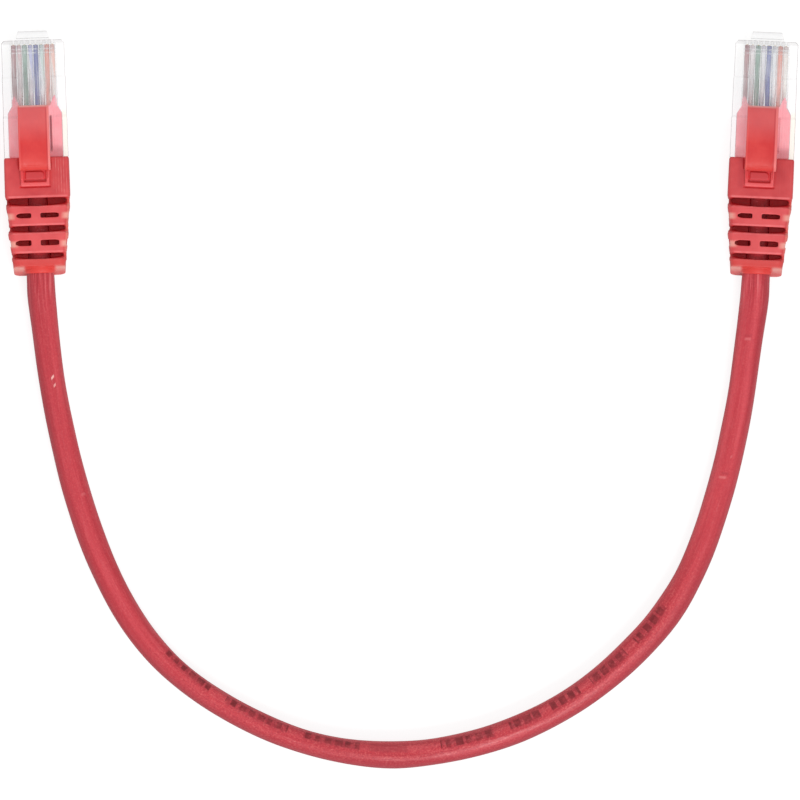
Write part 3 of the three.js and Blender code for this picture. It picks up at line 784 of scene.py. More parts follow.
def paint_boot(base, spot):
    """Tones of the boot, with painted light and shade: its frame, the cuts and straps of its tail, and its rear end.
    """
    x, y, z, grain = spot.x, spot.y, spot.z, spot.grain
    aside = abs(x)
    half_width, under, top = tail_section(y)
    ribs = y.fade(-7.2, -8.4) * spot.drift.fade(0.2, 0.8, low=0.4)
    base = paint(base, (ribs * 0.75, (242, 96, 98)))
    base = paint_frame(base, spot)

    # straps across the wide cuts, with painted shade on the -x side and painted light on the +x side, then painted
    # shade inside the cuts
    depth = minimum(half_width - aside, minimum(top - z, z - under))
    wall = half_width - aside
    cuts = y.fade(-7.35, -7.5) * y.fade(-19.4, -18.9)
    inside = (depth.fade(0.14, 0.75) * wall.fade(0.28, 0.46)) * cuts
    gap = near_any(y, [(centre, half + 0.08, half) for centre, half in WIDE_CUTS])
    strap = (wall.fade(0.54, 0.40) * (top - z).fade(0.35, 0.6)) * (z.fade(5.2, 5.8) * gap)
    strap_light_and_shade = mix(x.fade(-1, 1), rgb(182, 38, 46), rgb(222, 72, 66))
    base = paint(base, (strap * 0.7, strap_light_and_shade), (inside * 0.96, (194, 14, 28)))

    # the +x flank catches the light along its upper edge, and so do the block edges at the cuts
    ends = y.fade(-7.8, -8.4) * y.fade(-17.8, -17.2)
    crest = (x.fade(3.0, 3.4) * wall.fade(0.42, 0.16)) * ((top - z).fade(1.9, 1.1) * ends)
    crest = crest * grain.noise(scale=0.9, rough=0.6).fade(0.35, 0.6, low=0.15, high=0.5)
    brim = near_any(y, [(edge, 0.26, 0.1) for edge in CUT_EDGES])
    brim = brim * ((top - z).fade(0.45, 0.25) * wall.fade(0.3, 0.7))
    brim = brim * grain.noise(scale=0.8).fade(0.3, 0.6, low=0.45)
    base = paint(base, (crest, (250, 158, 140)), (brim * 0.5, (255, 132, 134)))

    # thin outer corners beside the short cuts, and the rear corners, let light through
    thin = (half_width - aside).fade(1.45, 0.55)
    for centre in SHORT_CUTS:
        near = abs(y - centre).fade(0.75, 0.3)
        near = near * z.fade(3.2, 6.4)
        base = paint(base, ((near * thin) * 0.74, (255, 186, 170)))
    rear = y.fade(-19.5, -20.3) * aside.fade(2.5, 3.1)
    rear = rear * z.fade(2.6, 6.4, low=0.15)
    lip = y.fade(-19.3, -20.0) * aside.fade(2.95, 2.45)
    last = y.fade(-18.5, -18.8) * y.fade(-20.2, -19.8)
    base = paint(base, (rear * 0.85, (255, 196, 182)), (lip * 0.85, (232, 62, 54)),
                 (last * 0.75, (222, 70, 66)))

    # plug b is a little greyer, with a painted shadow in a band beside the frame
    base = paint(base, (spot.plug_b * 0.5, mix(1.0, base, (0.86, 0.84, 0.86), "MULTIPLY")))
    darker_patch = abs(x + 3.75).fade(0.75, 0.3) * y.fade(-5.9, -5.0)
    darker_patch = (darker_patch * spot.plug_b) * z.fade(7.9, 8.1)
    return paint(base, (darker_patch * 0.25, (176, 54, 66)))


def paint_guard(base, spot):
    """Tones of the guard, mostly painted light and shade: a painted sheen towards the front, painted light on the rear
    slope, painted highlights at the tip and along both long edges, and painted shade in a fold by the +x edge and low
    down.
    """
    y = spot.y
    across = spot.x + -GUARD_X
    shifted = across + spot.plug_b * 0.06
    # painted highlight along the +x edge, and painted shade in the fold just inside it
    rim = shifted.fade(2.36, 2.52) * across.fade(2.92, 2.82, low=0.3)
    fold = abs(shifted - 2.27).fade(0.16, 0.05, high=0.4)
    # painted sheen towards the front, painted light on the rear slope, painted highlights at the tip and along the -x
    # edge, and painted shade low down
    base = paint(base, (y.fade(2.6, 6.4, high=0.40), (242, 134, 136)),
                 (y.fade(1.0, -1.6, high=0.35), (240, 84, 74)),
                 (y.fade(9.05, 9.35, high=0.8), (255, 188, 180)),
                 (rim * 0.75, (255, 142, 140)),
                 (fold * y.fade(9.0, 8.6), (184, 40, 50)),
                 (across.fade(-2.5, -2.66) * 0.5, (252, 108, 104)),
                 (spot.z.fade(11.6, 10.2) * 0.45, (168, 30, 40)))
    return paint(base, (spot.plug_b, mix(1.0, base, (0.92, 0.86, 0.88), "MULTIPLY")))


def paint_mould(base, spot):
    """Tones of the pale inner mould: painted shade along the groove edge beside the guard, painted light on its -x
    side where the guard's shadow falls, faint lines, a faint glow, and redder horn tips.
    """
    x, y, z = spot.x, spot.y, spot.z
    # painted shade in the groove beside the guard, stronger on plug a
    edge = x.fade(2.60, 2.70) * x.fade(3.08, 2.98)
    edge = edge * (y.fade(0.8, 1.4) * y.fade(7.8, 7.4))
    edge = (edge * z.fade(5.2, 5.4)) * spot.plug_b.fade(0, 1, low=0.96, high=0.25)
    # painted light on the -x side, where the guard's shadow falls, then the painted groove shade
    base = paint(base, (x.fade(-2.7, -3.1, high=0.22), (255, 206, 210)), (edge, (136, 12, 36)))
    for line_x, strength in ((3.45, 0.30), (3.95, 0.22), (-3.4, 0.16)):
        line = abs(x - line_x).fade(0.13, 0.04)
        line = line * spot.grain.scaled(1.0, 0.5, 1.0).noise(scale=1.0).fade(0.35, 0.6)
        base = paint(base, ((line * z.fade(5.5, 5.7)) * strength, (214, 84, 104)))
    # painted glow: a faint emission stands in for soft light coming through the pale compound from all round
    spot.shader.set(glow=(1.0, 0.40, 0.45), glow_strength=0.16)
    return paint(base, (y.fade(9.6, 11.4, high=0.45), (214, 84, 116)))


def pvc(name, dark, middle, light, paint_piece):
    """Moulded soft PVC: slow colour drift, fine matt grain, flow lines, and one piece's own tones and painted light
    and shade.
    """
    shader = Shader(name)
    own, grain = shader.attribute("own"), shader.attribute("grain")
    x, y, z = own.axes()
    drift = grain.noise(scale=0.28, detail=3.0, rough=0.55)
    base = drift.ramp([(0.30, rgb(*dark)), (0.52, rgb(*middle)), (0.74, rgb(*light))])
    speck = grain.noise(scale=5.0, rough=0.6)
    flow = grain.scaled(5.0, 0.35, 0.6).noise(scale=1.0)
    base = paint(base, (speck.fade(0.56, 0.72, high=0.12), light),
                 (flow.fade(0.5, 0.75, high=0.16), dark))
    # broken moulded lines on the upper +x flank, fainter on plug b, whose grain is shifted
    flank = x.fade(2.9, 3.3) * y.fade(-7.0, -6.2)
    flank = flank * (x.fade(5.9, 5.7) * z.fade(7.9, 8.1))
    plug_b = grain.axes()[1].fade(30.0, 31.0)
    lines = math_node("SINE", x * 13.0).fade(0.45, 1.0)
    lines = (lines * flank) * plug_b.fade(0, 1, low=1, high=0.12)
    lines = lines * grain.scaled(2.0, 0.5, 1.0).noise(scale=1.0, rough=0.6).fade(
        0.42, 0.6, low=0.15)
    base = paint_piece(base, SimpleNamespace(x=x, y=y, z=z, grain=grain, drift=drift,
                                             plug_b=plug_b, shader=shader))
    if paint_piece is paint_guard:
        lines = lines * 0.0  # the guard has none
    base = paint(base, (lines * 0.42, (255, 170, 168)))
    normal = grain.noise(scale=9.0, detail=3.0, rough=0.65).bump(strength=0.22, distance=0.00012)
    normal = grain.scaled(7.0, 0.5, 2.0).noise(scale=1.0).bump(
        strength=0.10, distance=0.00015, over=normal)
    normal = lines.bump(strength=0.25, distance=0.00008, over=normal)
    rough = grain.noise(scale=1.4, detail=3.0, rough=0.6).fade(0.3, 0.7, low=0.38, high=0.56)
    shader.set(color=base, rough=rough, spec=0.40, normal=normal, sss=0.10, sss_scale=0.0008,
               sss_radius=(1.0, 0.25, 0.2))
    return shader.material


# ------------------------------------------------------------------ jacket
# groups of ink bars: start and end along the cord
PRINT = [(74.0, 84.4), (88.0, 101.2), (104.2, 114.8), (130.2, 140.4), (143.2, 149.8),
         (151.8, 158.2), (160.6, 169.2), (171.8, 180.2)]
BAR_PITCH = 1.9
# wrinkles with painted glints (pale) and creases with painted shade (dark): place along, place across, half length,
# sRGB tone, strength
WRINKLE_GLINTS_AND_SHADE = [
    (18.2, 0.15, 0.34, (255, 200, 192), 0.85), (19.7, 0.3, 0.26, (255, 190, 184), 0.7),
    (206.9, 0.5, 0.8, (236, 132, 134), 0.5), (207.7, 0.2, 0.9, (166, 44, 58), 0.35),
    (232.8, 0.4, 0.7, (232, 124, 128), 0.45), (233.4, 0.3, 0.8, (166, 44, 58), 0.3),
    (211.0, -0.2, 0.2, (236, 132, 134), 0.35), (40.5, 1.2, 0.5, (232, 124, 128), 0.3),
]


def jacket_skin(own, along, rubbed):
    """Drawn streaks, mottling, flecks and scuffs of the extruded jacket."""
    streak = own.scaled(0.9, 0.9, 0.03).noise(scale=1.0, detail=3.0)
    base = streak.ramp([(0.30, rgb(190, 49, 61)), (0.5, rgb(203, 60, 71)),
                        (0.70, rgb(216, 74, 84))])
    mottle = own.scaled(1.0, 1.0, 0.45).noise(scale=1.1, detail=4.0, rough=0.65, distort=0.6)
    fine = own.scaled(3.4, 3.4, 0.22).noise(scale=1.0, detail=3.0, rough=0.6)
    fleck = own.scaled(2.6, 2.6, 1.6).noise(scale=2.4, detail=3.0, rough=0.7)
    flecked = abs(along - 130.0).fade(62.0, 48.0, low=0.55)
    darker_patch = own.scaled(1.8, 1.8, 1.2).noise(scale=2.8, detail=3.0, rough=0.7, distort=0.8)
    sand = own.scaled(1.0, 1.0, 0.8).noise(scale=3.2, rough=0.75)
    near_end = minimum(along, LENGTH - along).fade(7.0, 1.0)
    drawn = own.scaled(3.0, 3.0, 0.12).noise(scale=1.0, rough=0.6)
    return paint(base, (mottle.fade(0.52, 0.72, high=0.30), (190, 56, 70)),
                 (fine.fade(0.55, 0.75, high=0.30), (226, 112, 118)),
                 (fleck.fade(0.58, 0.70, high=0.36) * flecked, (238, 124, 122)),
                 (darker_patch.fade(0.60, 0.74, high=0.30), (168, 40, 58)),
                 (sand.fade(0.53, 0.66, high=0.36) * rubbed, (240, 128, 124)),
                 (sand.fade(0.47, 0.34, high=0.40) * rubbed, (152, 34, 54)),
                 (drawn.fade(0.52, 0.64, high=0.5) * near_end, (240, 128, 132)),
                 (drawn.fade(0.46, 0.36, high=0.5) * near_end, (160, 30, 44)))


def jacket_print(base, shader, own):
    """A row of plain worn ink bars, in groups, on the inner side of the U. Also returns the ink."""
    x, y, along = own.axes()
    arc = math_node("ARCTAN2", x, y) * 2.5  # mm round the jacket, 0 on top
    start, end = PRINT[0][0] - 4.0, PRINT[-1][1] + 4.0
    stops = [(0.0, (0, 0, 0))]
    for group_start, group_end in PRINT:
        stops += [((group_start - start) / (end - start), (1, 1, 1)),
                  ((group_end - start) / (end - start), (0, 0, 0))]
    group = ((along - start) / (end - start)).ramp(stops, "CONSTANT")
    cell = math_node("FLOOR", along / BAR_PITCH)
    chance = shader.node("TexWhiteNoise", {"W": cell + 0.0}, "Value", noise_dimensions="1D")
    in_cell = math_node("FRACT", along / BAR_PITCH)
    width = chance * 0.4 + 0.42
    bar = in_cell.fade(0.05, 0.1) * (1.0 - (in_cell - width).fade(0.05, 0.1))
    # the row wanders towards the top of the cord, and its bars grow taller
    half_height = along.fade(74.0, 180.0, low=0.66, high=0.84)
    row = along.fade(74.0, 180.0, low=1.66, high=1.16)
    ragged = (own.noise(scale=0.5, detail=1.0) - 0.5) * 0.5
    outside = abs(arc - (row + ragged)) - half_height
    ink = (bar * (1.0 - outside.fade(-0.12, 0.12))) * group
    ink = ink * own.scaled(1.0, 1.0, 0.6).noise(scale=0.55, rough=0.6).fade(0.38, 0.62, low=0.45)
    # a smear round the print, and one long faint patch at the bottom of the U
    smear = ((group * abs(arc - row).fade(1.5, 0.5))
             * own.noise(scale=1.7, detail=3.0, rough=0.75).fade(0.38, 0.62, low=0.1, high=0.8))
    patch = ((along.fade(116.6, 117.2) * along.fade(124.2, 123.6))
             * abs(arc - 1.35).fade(1.0, 0.75))
    base = paint(base, (maximum(smear, patch * 0.34), (150, 34, 48)), (ink * 0.8, (112, 12, 22)))
    return base, ink


def jacket_material():
    shader = Shader("jacket_pvc")
    own = shader.attribute("own")
    x, y, along = own.axes()
    rubbed = abs(along - 132.0).fade(64.0, 46.0, low=0.35)
    base = jacket_skin(own, along, rubbed)
    base, ink = jacket_print(base, shader, own)
    # painted glints on wrinkles and painted shade in faint creases on the upper side; the short ones slant more
    for place, across, reach, tone, strength in WRINKLE_GLINTS_AND_SHADE:
        slanted = along + (x - across) * (0.9 if reach < 0.4 else 0.15)
        line = abs(slanted - place).fade(0.34, 0.14, high=strength)
        line = line * abs(x - across).fade(reach, reach * 0.6)
        base = paint(base, (line * math_node("GREATER_THAN", y, 0.0), tone))
    # the part inside the boot is painted in its shade, with painted glints on its crest
    shade = minimum(along, LENGTH - along).fade(-2.2, -3.0) * 0.96
    glint = own.scaled(1.6, 1.6, 2.2).noise(scale=1.0, detail=3.0, rough=0.7)
    glint = glint.fade(0.56, 0.66, high=0.5) * abs(x).fade(1.9, 0.9)
    # painted shade low down on the cord and on the outer side of the U
    outer = x.fade(-0.5, -2.0, high=0.36) * rubbed.fade(0.35, 1.0, low=1.0, high=1.7)
    base = paint(base, (shade, mix(glint, rgb(176, 18, 32), rgb(214, 92, 104))),
                 (y.fade(0.9, -0.9, high=0.40), (140, 46, 68)), (outer, (152, 40, 54)))
    normal = own.scaled(1.1, 1.1, 0.16).noise(scale=1.2, detail=3.0, rough=0.6).bump(
        strength=0.35, distance=0.0003)
    normal = own.scaled(6.0, 6.0, 2.0).noise(scale=1.6, rough=0.6).bump(
        strength=0.12, distance=0.0001, over=normal)
    rough = own.scaled(1.6, 1.6, 0.3).noise(scale=1.2, detail=3.0, rough=0.6).fade(
        0.3, 0.7, low=0.34, high=0.52)
    shader.set(color=base, rough=rough + ink * 0.15, spec=0.42, normal=normal, sss=0.05,
               sss_scale=0.0006, sss_radius=(1.0, 0.25, 0.2))
    return shader.material


# ------------------------------------------------------------------ clear plastic, gold, wires
def nose_glare(haze_and_glare, grain, x, y, on_top):
    """Adds glare drawn along the nose's top, and the two moulded lines across it."""
    # painted glare in streaks along the nose's top
    drawn = grain.scaled(3.0, 0.16, 0.2).noise(scale=1.0, rough=0.6).fade(
        0.38, 0.66, low=0.10, high=0.46)
    drawn = drawn * y.fade(18.5, 14.5, low=0.5)
    drawn = drawn * abs(x).fade(4.3, 4.1)
    haze_and_glare = haze_and_glare + (drawn * on_top) * y.fade(8.8, 10.5)
    broken = grain.scaled(1.4, 0.3, 0.3).noise(scale=1.0, rough=0.6).fade(
        0.4, 0.6, low=0.08, high=0.34)
    for line_y in (19.12, 19.82):
        line = abs(y - line_y).fade(0.2, 0.1) * broken
        haze_and_glare = haze_and_glare + line * (on_top * abs(x).fade(4.2, 4.1))
    return haze_and_glare


def clear_material(name, haze, edge, glare):
    """Clear moulded polycarbonate, seen straight through: a light haze, flow waves, hairline wear,
    and edges painted grey where the surface turns away, standing in for refraction."""
    shader = Shader(name)
    own, grain = shader.attribute("own"), shader.attribute("grain")
    waves = grain.scaled(0.5, 0.22, 0.5).noise(scale=1.0)
    hair = grain.scaled(9.0, 0.6, 9.0).noise(scale=1.0, rough=0.6)
    normal = hair.bump(strength=0.05, distance=0.00006,
                       over=waves.bump(strength=0.08, distance=0.0004))
    rough = grain.noise(scale=1.1, detail=3.0, rough=0.6).fade(0.35, 0.7, low=0.05, high=0.14)
    shader.set(color=(0.90, 0.92, 0.94), rough=rough, ior=1.5, spec=0.5, normal=normal)
    facing = shader.node("LayerWeight", {"Blend": 0.5}, "Facing")
    haze_and_glare = waves.fade(0.3, 0.7, low=haze * 0.6, high=haze * 1.4)
    x, y, z = own.axes()
    on_top = z.fade(6.3, 6.6)
    if glare:
        haze_and_glare = nose_glare(haze_and_glare, grain, x, y, on_top)
    diffuse_ray = shader.node("LightPath", output="Is Diffuse Ray")
    seen = 1.0 - diffuse_ray
    # haze with the painted glare, and more of it where the surface turns away
    milky_and_glare = math_node("ADD", haze_and_glare, (facing ** 4.0) * 0.30, clamp=True)
    # painted grey where the surface turns away
    tint = mix((facing ** 2.2) * seen, (0.992, 0.993, 0.995), edge)
    # slightly yellow along the rear of the +x wall
    warm = (x.fade(4.9, 5.0) * y.fade(9.0, 8.0)) * (on_top * seen)
    tint = mix(warm, tint, mix(1.0, tint, (1.0, 0.985, 0.90), "MULTIPLY"))
    through = shader.node("BsdfTransparent", {0: tint})
    plastic = shader.node("MixShader", {0: milky_and_glare * seen, 1: through, 2: shader.bsdf})
    # casts no shadow
    unshadowed = shader.node("BsdfTransparent", {0: (1.0, 1.0, 1.0)})
    shader.show(shader.node("MixShader", {0: diffuse_ray.sibling("Is Shadow Ray"), 1: plastic,
                                          2: unshadowed}))
    return shader.material


def gold_material():
    shader = Shader("gold_plate")
    grain = shader.attribute("grain")
    tone = mix(grain.noise(scale=1.8, detail=3.0, rough=0.6).fade(0.3, 0.7),
               (0.86, 0.60, 0.24), (0.98, 0.78, 0.42))
    brushed = grain.scaled(20.0, 1.2, 1.2).noise(scale=1.5, rough=0.6)
    shader.set(color=tone, rough=brushed.fade(0.3, 0.7, low=0.16, high=0.34), metal=1.0,
               normal=brushed.bump(strength=0.12, distance=0.00004))
    return shader.material


def wire_material(name, colour, stripe):
    """Insulation: a plain colour, or near white with a stripe that winds round the conductor."""
    shader = Shader(name)
    own = shader.attribute("own")
    x, y, along = own.axes()
    dark = tuple(c * 0.82 for c in colour)
    light = tuple(min(1.0, c * 1.12 + 0.01) for c in colour)
    base = own.scaled(1.5, 1.5, 0.25).noise(scale=1.0).ramp([(0.3, dark), (0.7, light)])
    if stripe is not None:
        turn = math_node("ARCTAN2", y, x) / (2 * math.pi) + along / 24.0
        from_stripe = abs(math_node("FRACT", turn) - 0.5)
        base = mix(from_stripe.fade(0.13, 0.16, low=1.0, high=0.0), base, rgb(*stripe))
    # darker in the nose, and bare copper on the cut end
    past = BOOT_BEND_Y - WIRE_END_Y
    tip = minimum(along - past, (LENGTH - past) - along)
    base = mix(tip.fade(1.7, 0.5, high=0.5), base, mix(1.0, base, (0.42, 0.36, 0.42), "MULTIPLY"))
    radius = math_node("SQRT", x * x + y * y)
    base = mix(radius.fade(0.25, 0.23), base, (0.72, 0.33, 0.20))
    texture = own.scaled(4.0, 4.0, 1.0).noise(scale=1.5)
    shader.set(color=base, rough=texture.fade(0.3, 0.7, low=0.28, high=0.42), spec=0.45,
               normal=texture.bump(strength=0.08, distance=0.00006))
    return shader.material


MATERIALS = {
    "boot": pvc("boot_pvc", (208, 66, 72), (219, 77, 80), (228, 88, 90), paint_boot),
    "guard": pvc("guard_pvc", (218, 50, 53), (226, 60, 60), (234, 73, 70), paint_guard),
    "mould": pvc("inner_pvc", (246, 150, 160), (250, 165, 173), (253, 182, 187), paint_mould),
    "jacket": jacket_material(),
    "clear": clear_material("housing_clear", haze=0.035, edge=(0.46, 0.42, 0.42), glare=True),
    "latch": clear_material("latch_clear", haze=0.015, edge=(0.80, 0.79, 0.79), glare=False),
    "gold": gold_material(),
}
for _, wire, colour, stripe in WIRES:
    MATERIALS["wire_" + wire] = wire_material("wire_" + wire, rgb(*colour), stripe)


# ------------------------------------------------------------------ clear housing and latch
def contact_x(i):
    return (i - 3.5) * PITCH


def housing_mesh():
    side = [(0.0, 0.3), (20.9, 0.3), (21.46, 0.9), (21.46, 6.0), (20.7, 6.9), (14.9, 6.9),
            (14.5, 7.3), (7.7, 7.3), (7.2, 7.9), (0.0, 7.9)]
    plan = mirror([(5.84, -1.0), (5.84, 7.2), (5.78, 7.6), (5.78, 14.5), (5.72, 14.9),
                   (5.72, 21.0), (5.3, 21.46)])
    cavity_plan = mirror([(4.95, -1), (4.95, 8.1), (4.2, 9.4), (4.2, 20.9)])
    cavity_side = [(-2, 1.0), (9.6, 1.0), (13.5, 2.72), (22, 2.72), (22, 3.78), (14.4, 3.78),
                   (11.8, 6.15), (-2, 6.15)]
    housing = prism(side, -7, 7, "yz")
    boolean(housing, prism(plan, -1, 12, "xy"), "INTERSECT")
    cavity = prism(cavity_plan, -1, 8, "xy")
    boolean(cavity, prism(cavity_side, -7, 7, "yz"), "INTERSECT")
    boolean(housing, cavity)
    # channel under the latch
    boolean(housing, box((-3.0, 3.0), (0.8, 15.4), (6.75, 12), radius=0.35))
    # two pockets in the underside, and two lines across the nose's top
    boolean(housing, join([box((-3.4, 3.4), (2.2, 5.6), (-1, 0.65), radius=0.4),
                           box((-4.1, 4.1), (18.95, 19.3), (6.68, 8)),
                           box((-4.1, 4.1), (19.65, 20.0), (6.68, 8)),
                           box((-2.9, 2.9), (9.5, 11.6), (-1, 0.6), radius=0.4)]))
    # contact slots through the underside and the nose, and shallow guides over the conductors
    boolean(housing, join([box((contact_x(i) - 0.23, contact_x(i) + 0.23), (16.2, 22), (-1, 3.0))
                           for i in range(CONTACTS)]))
    boolean(housing, join([prism(ellipse((contact_x(i), 3.62), 0.46, 0.34, 12), 14.6, 20.6, "xz")
                           for i in range(CONTACTS)]))
    clean(housing)
    return bevel(housing, 0.09)


def latch_mesh():
    top = spline([(22.75, 7.45), (22.2, 7.95), (21.2, 8.12), (18.0, 8.86), (12.6, 10.15),
                  (8.6, 11.15), (6.9, 11.62)])
    tail = [(6.45, 11.66), (6.25, 11.45), (6.25, 10.95), (6.5, 10.72)]
    under = spline([(6.9, 10.62), (9.4, 10.06), (12.6, 9.3), (17.6, 8.1), (20.6, 7.42),
                    (21.55, 7.12), (21.85, 6.6), (21.8, 5.6)])
    foot = [(21.95, 5.38), (22.45, 5.35), (22.85, 5.7)]
    front = spline([(23.02, 6.1), (23.08, 6.7), (22.95, 7.2)], 4)
    latch = prism(top + tail + under + foot + front[:-1], -5, 5, "yz")
    plan = mirror([(1.33, 6.0), (1.63, 6.35), (1.63, 12.4), (1.75, 12.56), (2.85, 12.56),
                   (3.0, 12.72), (3.0, 21.7), (2.6, 23.4)])
    boolean(latch, prism(plan, 0, 20, "xy"), "INTERSECT")
    # two shallow steps across the top of the tail
    steps = [[(7.0, 11.75), (7.0, 11.45), (7.35, 11.36), (7.35, 11.9)],
             [(8.1, 11.5), (8.1, 11.18), (8.45, 11.09), (8.45, 11.6)]]
    boolean(latch, join([prism(step, -1.2, 1.2, "yz") for step in steps]))
    clean(latch)
    return bevel(latch, 0.14, segments=3)


# ------------------------------------------------------------------ inner mould, boot and guard
def mould_mesh():
    plan = rounded(mirror([(4.9, 0.0), (4.9, 8.05), (4.12, 9.4)]),
                   [0.1, 0.35, 0.25, 0.25, 0.35, 0.1])
    block = prism(plan, 1.1, 6.05, "xy")
    # a tapering horn each side of the fan of conductors
    half_horn = [(4.1, 8.3), (4.08, 10.6), (3.72, 11.45), (3.3, 10.7), (2.75, 9.3), (2.7, 8.3)]
    for side in (-1, 1):
        horn = rounded([(side * x, y) for x, y in half_horn], [0, 0.3, 0.12, 0.3, 0.3, 0])
        boolean(block, prism(horn, 4.85, 6.0, "xy"), "UNION")
    boolean(block, loft([at_y(ellipse((0, EXIT_Z), 2.98, 2.26, 40), y) for y in (-1, 4.6)]))
    fan = mirror([(2.4, 4.3), (2.6, 5.5), (3.4, 7.0), (4.0, 8.6), (4.3, 12)])
    boolean(block, prism(fan, 2.45, 4.8, "xy"))
    # a narrow groove for the +x wall of the latch channel
    boolean(block, box((2.86 - 0.14, 2.86 + 0.14), (0.9, 7.6), (5.7, 7), radius=0.12))
    return remesh(block, MOULD_VOXEL)


# sleeve of the boot: half width, underside, top, corner radius, y
SLEEVE = [(5.78, 0.06, 8.2, 0.5, -0.02), (5.92, 0.0, 8.3, 0.6, -0.3), (5.95, 0.0, 8.3, 0.65, -3.8),
          (5.95, 0.0, 8.3, 0.65, -7.05), (5.86, 0.07, 8.22, 0.6, -7.4)]
# blocks of the tail, widest in front: front y, half width there, rear y, half width there
BLOCKS = [(-8.9, 5.84, -12.5, 5.38), (-13.75, 5.46, -17.5, 4.98), (-18.6, 4.84, -21.3, 4.62)]
# necks between them: front y, rear y, half width
NECKS = [(-7.2, -9.2, 5.86), (-12.2, -14.0, 5.44), (-17.2, -18.9, 4.94)]
# wide cuts: front y, rear y, half width, bow, strap inset on the -x side, and on the +x side
CUTS = [(-7.45, -8.72, 5.42, 0.2, 0.24, 0.38), (-12.54, -13.62, 5.04, 0.14, 0.2, 0.34),
        (-17.56, -18.5, 4.6, 0.1, 0.2, 0.3)]
# pairs of short cuts: front y, rear y, half width of the tail, shift in x, floor
SHORT_PAIRS = [(-10.2, -11.06, 5.62, -0.13, 5.7), (-15.14, -16.14, 5.16, -0.24, 5.5)]


def middle_block(front, front_half, rear, rear_half):
    low0, high0 = tail_section(front)[1:]
    low1, high1 = tail_section(rear)[1:]
    return loft([
        round_rect(front_half - 0.16, low0 + 0.12, high0 - 0.12, 1.2, front),
        round_rect(front_half, low0, high0 + 0.04, 1.3, front - 0.22),
        round_rect(front_half * 0.6 + rear_half * 0.4, low0 * 0.6 + low1 * 0.4,
                   high0 * 0.6 + high1 * 0.4 + 0.04, 1.35, front * 0.6 + rear * 0.4),
        round_rect(rear_half, low1, high1 + 0.02, 1.35, rear + 0.2),
        round_rect(rear_half - 0.14, low1 + 0.12, high1 - 0.1, 1.25, rear),
    ])


def last_block(front, front_half, rear_half):
    """The rearmost block, whose rear face leans forward towards the top."""
    low0, high0 = tail_section(front)[1:]
    low1, high1 = tail_section(TAIL_REAR)[1:]
    leaning = [(x, -21.62 + 1.75 * ((z - low1) / (high1 - low1)), z)
               for x, _, z in round_rect(rear_half, low1, high1, 1.3, 0)]
    return loft([
        round_rect(front_half - 0.12, low0 + 0.1, high0 - 0.1, 1.2, front),
        round_rect(front_half, low0, high0, 1.3, front - 0.18),
        round_rect(4.76, low1, high1 + 0.03, 1.35, -19.3),
        leaning,
    ])


def boot_body():
    body = loft([round_rect(*ring) for ring in SLEEVE])
    for front, front_half, rear, rear_half in BLOCKS:
        if rear < TAIL_REAR:
            block = last_block(front, front_half, rear_half)
        else:
            block = middle_block(front, front_half, rear, rear_half)
        boolean(body, block, "UNION")
    for front, rear, half in NECKS:
        low0, high0 = tail_section(front)[1:]
        low1, high1 = tail_section(rear)[1:]
        boolean(body, loft([round_rect(half, low0 + 0.25, high0 - 0.25, 1.5, front),
                            round_rect(half - 0.04, low1 + 0.25, high1 - 0.25, 1.5, rear)]),
                "UNION")
    # round collar at the rear: y, radius
    collar = ((-18.8, 3.05), (-20.5, 3.0), (-20.95, 2.92), (-21.2, 2.74))
    boolean(body, loft([at_y(ellipse((0, EXIT_Z), r, r, 48), y) for y, r in collar]), "UNION")
    return body


def frame_box(x, y, z, radius=0.0):
    """Box whose x is measured from the middle of the raised frame."""
    return box([value + FRAME_X for value in x], y, z, radius)


def add_raised_frame(body):
    # plate behind the guard (half width, rear y, z), with side rails that run forward beside it
    rings = []
    for half, rear, z in ((2.63, -5.28, 7.9), (2.63, -5.28, 8.88), (2.54, -5.18, 9.02)):
        outline = rounded([(-half, rear), (half, rear), (half, -0.55), (-half, -0.55)], 0.22, 4)
        rings.append([(x + FRAME_X, y, z) for x, y in outline])
    boolean(body, loft(rings), "UNION")
    for side in (-1, 1):
        rail = frame_box((side * 2.36, side * 2.63), (-4.0, 1.2), (8.2, 9.3), radius=0.12)
        boolean(body, rail, "UNION")
    # recess with a plain raised pill in it, and the well the guard's foot stands in
    boolean(body, frame_box((-2.05, 2.06), (-4.52, -2.3), (8.48, 12), radius=0.15))
    pill = [(-1.7, -3.98), (1.66, -3.98), (1.66, -2.62), (-1.7, -2.62)]
    pill = rounded([(x + FRAME_X, y) for x, y in pill], [0.12, 0.6, 0.6, 0.12])
    boolean(body, prism(pill, 8.2, 8.78, "xy"), "UNION")
    boolean(body, frame_box((-2.36, 2.36), (-2.4, 0.0), (8.55, 12)))
    # a fine groove round the frame
    for side in (-1, 1):
        boolean(body, frame_box((side * 2.64, side * 2.86), (-5.5, -2.0), (8.05, 9)))
        boolean(body, frame_box((side * 2.64, side * 3.0), (-2.1, 1.0), (8.05, 9)))
    boolean(body, frame_box((-2.86, 2.86), (-5.52, -5.29), (8.05, 9)))


def blade(half, front, rear, low, high, bow):
    """Cutter for a slot across the tail: pointed at both ends, its long edges bowed."""
    middle = (front + rear) / 2
    front_edge = [(-half, middle + 0.1), (-half + 0.45, front - 0.06), (-half + 1.2, front),
                  (0, front + bow * 0.3), (half - 1.2, front), (half - 0.45, front - 0.06),
                  (half, middle + 0.1)]
    rear_edge = [(half - 0.5, rear + 0.2), (half - 1.9, rear), (0, rear - bow),
                 (-half + 1.9, rear), (-half + 0.5, rear + 0.2)]
    return prism(rounded(front_edge + rear_edge, 0.22, 3), low, high, "xy")


